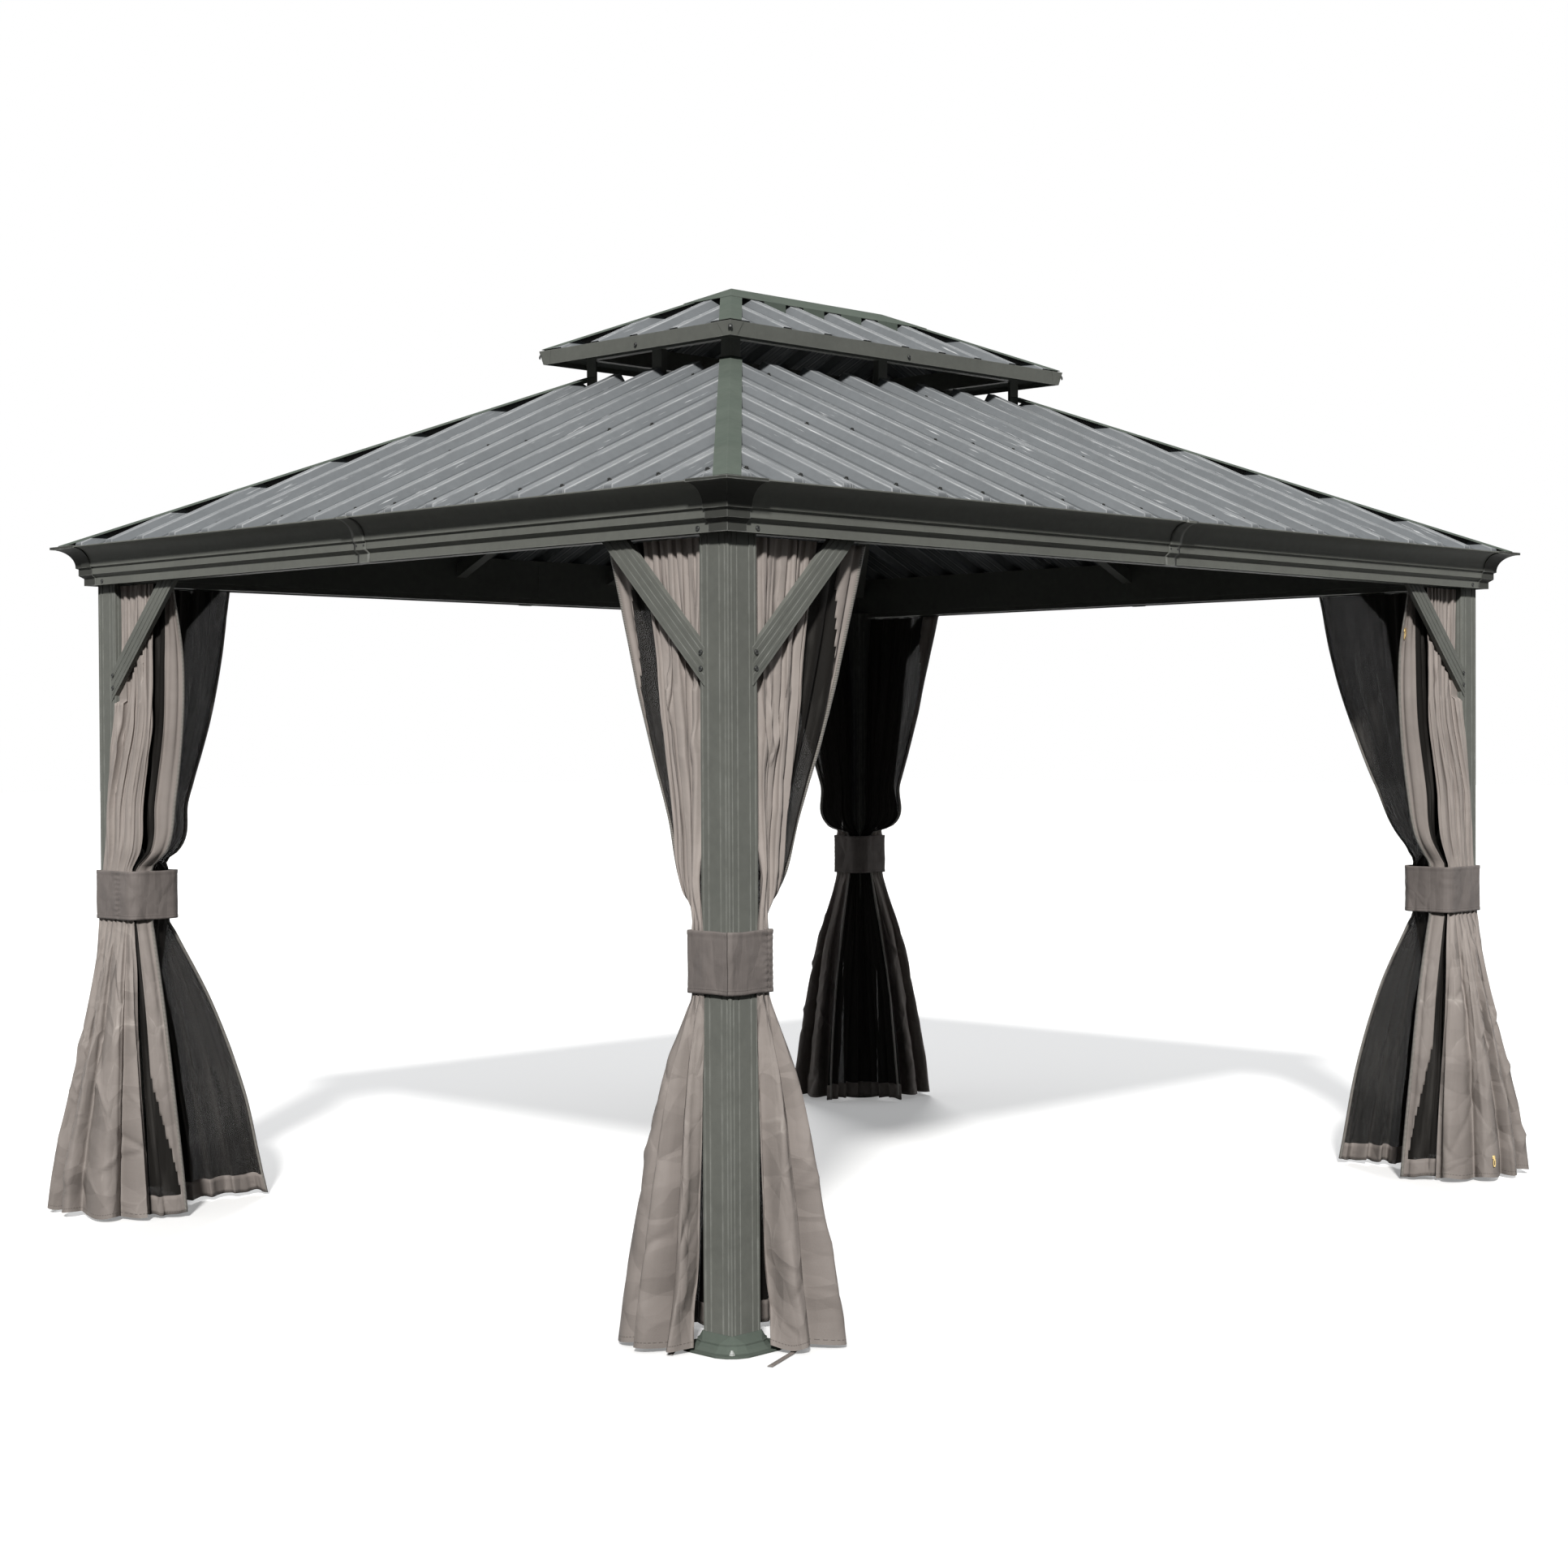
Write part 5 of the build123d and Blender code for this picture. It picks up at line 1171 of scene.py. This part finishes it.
class GAZEBO_OT_tie_bands(bpy.types.Operator):
    """A stitched band round each post and its gathered cloth"""
    bl_idname = "gazebo.tie_bands"
    bl_label = "Tie bands"

    def execute(self, context):
        sizes = context.scene.gazebo_cloth
        plain = [(0.0935, 0.0935), (0.239, 0.0935), (0.239, 0.205), (0.205, 0.239), (0.0935, 0.239)]
        wide = [(0.0995, 0.0865), (0.286, 0.0865), (0.302, 0.108), (0.298, 0.240), (0.276, 0.262), (0.0995, 0.2395)]
        loops = {"front_left": plain, "back_right": plain, "back_left": wide,
                 "front_right": [(b, a) for a, b in reversed(wide)]}
        for k, corner in enumerate(CORNERS):
            grid, flat = self.band_grid(loops[corner], tie_level(corner), sizes.band_high, 90 + k)
            band = new_piece("tie_band_" + corner, sheet_of(to_world(corner, False, grid), True), "Band cloth",
                             grid_uv(grid, flat))
            thickened(band, 0.0018)
            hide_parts("tie_bands")
        return {"FINISHED"}

    def band_grid(self, loop, level, high, seed):
        """Closed strip round a loop with soft corners, hemmed edges, a puckered seam and slack wrinkles."""
        rng = np.random.default_rng(seed)
        columns, rows, ease = 260, 34, 0.006
        corners = np.array(loop)
        path = []
        for k, p in enumerate(corners):
            for q in (corners[k - 1], corners[(k + 1) % len(corners)]):
                path.append(p + (q - p) / np.linalg.norm(q - p) * ease)
        path = np.array(path + [path[0]])
        run = np.concatenate([[0], np.cumsum(np.linalg.norm(np.diff(path, axis=0), axis=1))])
        at = np.linspace(0, run[-1], columns, endpoint=False)
        plan = np.stack([np.interp(at, run, path[:, k]) for k in range(2)], axis=1)
        for _ in range(3):
            plan = (np.roll(plan, 1, axis=0) + 2 * plan + np.roll(plan, -1, axis=0)) / 4
        way = np.roll(plan, -1, axis=0) - np.roll(plan, 1, axis=0)
        way /= np.linalg.norm(way, axis=1, keepdims=True)
        out = np.stack([way[:, 1], -way[:, 0]], axis=1)
        ss, tt = np.meshgrid(np.arange(columns) / columns, np.linspace(0, 1, rows))
        edge = np.minimum(tt, 1 - tt) * high
        hem = 0.0010 * np.exp(-((edge - 0.006) / 0.005) ** 2) - 0.0007 * np.exp(-((edge - 0.0125) / 0.0014) ** 2)
        seam_off = (ss - (run[1] + 0.118) / run[-1]) * run[-1]
        pucker = 0.0016 * np.exp(-(seam_off / 0.016) ** 2) * np.sin(tt * 58 + 2 * smooth_noise(rng, ss, tt, 40, 6))
        groove = -0.0014 * np.exp(-(seam_off / 0.0016) ** 2)
        slack = 0.0013 * smooth_noise(rng, ss, tt, 14, 3) + 0.0006 * smooth_noise(rng, ss, tt, 30, 8)
        push = 0.0016 + hem + pucker + groove + slack * np.sin(np.pi * tt)
        a, b = (plan[None, :, k] + out[None, :, k] * push for k in range(2))
        z = level + high / 2 - tt * high + 0.0012 * smooth_noise(rng, ss, np.zeros_like(tt), 12, 1)
        return np.stack([a, b, z], axis=2), (float(run[-1]), high)


class GAZEBO_OT_strap_ends(bpy.types.Operator):
    """Loose tape ends beside the near foot and brass zip pulls"""
    bl_idname = "gazebo.strap_ends"
    bl_label = "Strap ends and pulls"

    def execute(self, context):
        self.tape("strap_end_right", ((-1.540, -1.400, 0.030), (-1.575, -1.450, 0.010), (-1.620, -1.478, 0.003),
                                      (-1.680, -1.503, 0.002), (-1.756, -1.534, 0.002)))
        self.tape("strap_end_left", ((-1.722, -1.225, 0.030), (-1.756, -1.240, 0.014), (-1.790, -1.256, 0.005),
                                     (-1.812, -1.270, 0.002), (-1.836, -1.288, 0.002)))
        sizes = context.scene.gazebo_cloth
        self.pull("zip_pull_hem", "curtain_front_right_front", sizes.across, sizes.down - 9, int(sizes.across * 0.6))
        columns = int(sizes.across * NET_SHARE)
        self.pull("zip_pull_net", "net_front_right_front", columns, 10, columns - 3)
        return {"FINISHED"}

    def pull(self, name, sheet, columns, row, column):
        """Slider and slotted tab that hang from one point of a cloth."""
        points = [v.co for v in bpy.data.objects[sheet].data.vertices]
        at = row * columns + column
        down = (points[at + columns] - points[at - columns]).normalized()
        out = (points[at + 1] - points[at - 1]).cross(down).normalized()
        if out.dot(Vector((points[at].x, points[at].y, 0))) < 0:
            out = -out
        side = down.cross(out)
        tab = [(-0.0030, 0.0), (-0.0045, 0.006), (-0.0050, 0.018), (-0.0026, 0.026)]
        slot = [(-0.0012, 0.006), (-0.0020, 0.010), (-0.0022, 0.017), (-0.0012, 0.021)]
        slider = [(-0.0040, -0.010), (-0.0056, -0.007), (-0.0056, -0.002), (-0.0040, 0.0015)]
        lid = [(-0.0028, -0.008), (-0.0040, -0.006), (-0.0040, -0.003), (-0.0028, 0.0)]
        shell = Shell()
        for rings, capped in ((((tab, 0.0040), (tab, 0.0058), (slot, 0.0058), (slot, 0.0040), (tab, 0.0040)), False),
                              (((lid, 0.0012), (slider, 0.0012), (slider, 0.0028), (lid, 0.0040)), True)):
            shell.strip([points[at] + side * x + down * y + out * high for half, high in rings
                         for x, y in half + [(-x, y) for x, y in reversed(half)]], 8, True, capped)
        new_piece(name, shell, "Brass pull", sharp=30)

    def tape(self, name, points):
        """Flat tape along a few points on the ground."""
        rows, half, curl, lift = 40, 0.0065, 0.0006, 0.0008
        line = path_through(np.array([points]), np.linspace(0, 1, rows))[0]
        side = np.cross(np.gradient(line, axis=0), np.array([0.0, 0.0, 1.0]))
        side /= np.linalg.norm(side, axis=1, keepdims=True)
        across = np.linspace(-half, half, 7)
        grid = line[:, None] + side[:, None] * across[None, :, None]
        grid[:, :, 2] += curl * np.cos(across / half * 3)[None, :] + lift
        long = float(np.linalg.norm(np.diff(line, axis=0), axis=1).sum())
        u, v = np.meshgrid(across + half, np.linspace(0, long, rows))
        piece = new_piece(name, sheet_of(grid), "Border cloth",
                          np.stack([u.ravel(), v.ravel()], axis=1))
        thickened(piece, 0.0014)


class GAZEBO_PT_panel(bpy.types.Panel):
    """Lists the gazebo's pieces and their settings"""
    bl_idname = "GAZEBO_PT_panel"
    bl_label = "Gazebo"
    bl_space_type = "VIEW_3D"
    bl_region_type = "UI"
    bl_category = "Gazebo"

    def draw(self, context):
        for operator in OPERATORS:
            self.layout.operator(operator.bl_idname)
        for name in GROUPS:
            group, box = getattr(context.scene, name), self.layout.box()
            for key in group.__annotations__:
                box.prop(group, key)


OPERATORS = (GAZEBO_OT_stage, GAZEBO_OT_coatings, GAZEBO_OT_valley_beads, GAZEBO_OT_rib_ends, GAZEBO_OT_hip_shade_strips,
             GAZEBO_OT_splice_straps, GAZEBO_OT_roof_screws, GAZEBO_OT_frame_bolts, GAZEBO_OT_curtains,
             GAZEBO_OT_nets, GAZEBO_OT_tie_bands, GAZEBO_OT_strap_ends)
GROUPS = {"gazebo_finish": FinishSettings, "gazebo_cloth": ClothSettings, "gazebo_fasteners": FastenerSettings,
          "gazebo_stage": StageSettings}


def register():
    for cls in (*GROUPS.values(), *OPERATORS, GAZEBO_PT_panel):
        bpy.utils.register_class(cls)
    for name, cls in GROUPS.items():
        setattr(bpy.types.Scene, name, PointerProperty(type=cls))


def unregister():
    for name in GROUPS:
        delattr(bpy.types.Scene, name)
    for cls in (GAZEBO_PT_panel, *reversed(OPERATORS), *reversed(tuple(GROUPS.values()))):
        bpy.utils.unregister_class(cls)


def main():
    register()
    bpy.ops.gazebo.stage()
    bpy.ops.gazebo.coatings()
    bpy.ops.gazebo.valley_beads()
    bpy.ops.gazebo.rib_ends()
    bpy.ops.gazebo.hip_closures()
    bpy.ops.gazebo.splice_straps()
    bpy.ops.gazebo.roof_screws()
    bpy.ops.gazebo.frame_bolts()
    bpy.ops.gazebo.curtains()
    bpy.ops.gazebo.nets()
    bpy.ops.gazebo.tie_bands()
    bpy.ops.gazebo.strap_ends()


if __name__ == "__main__":
    main()
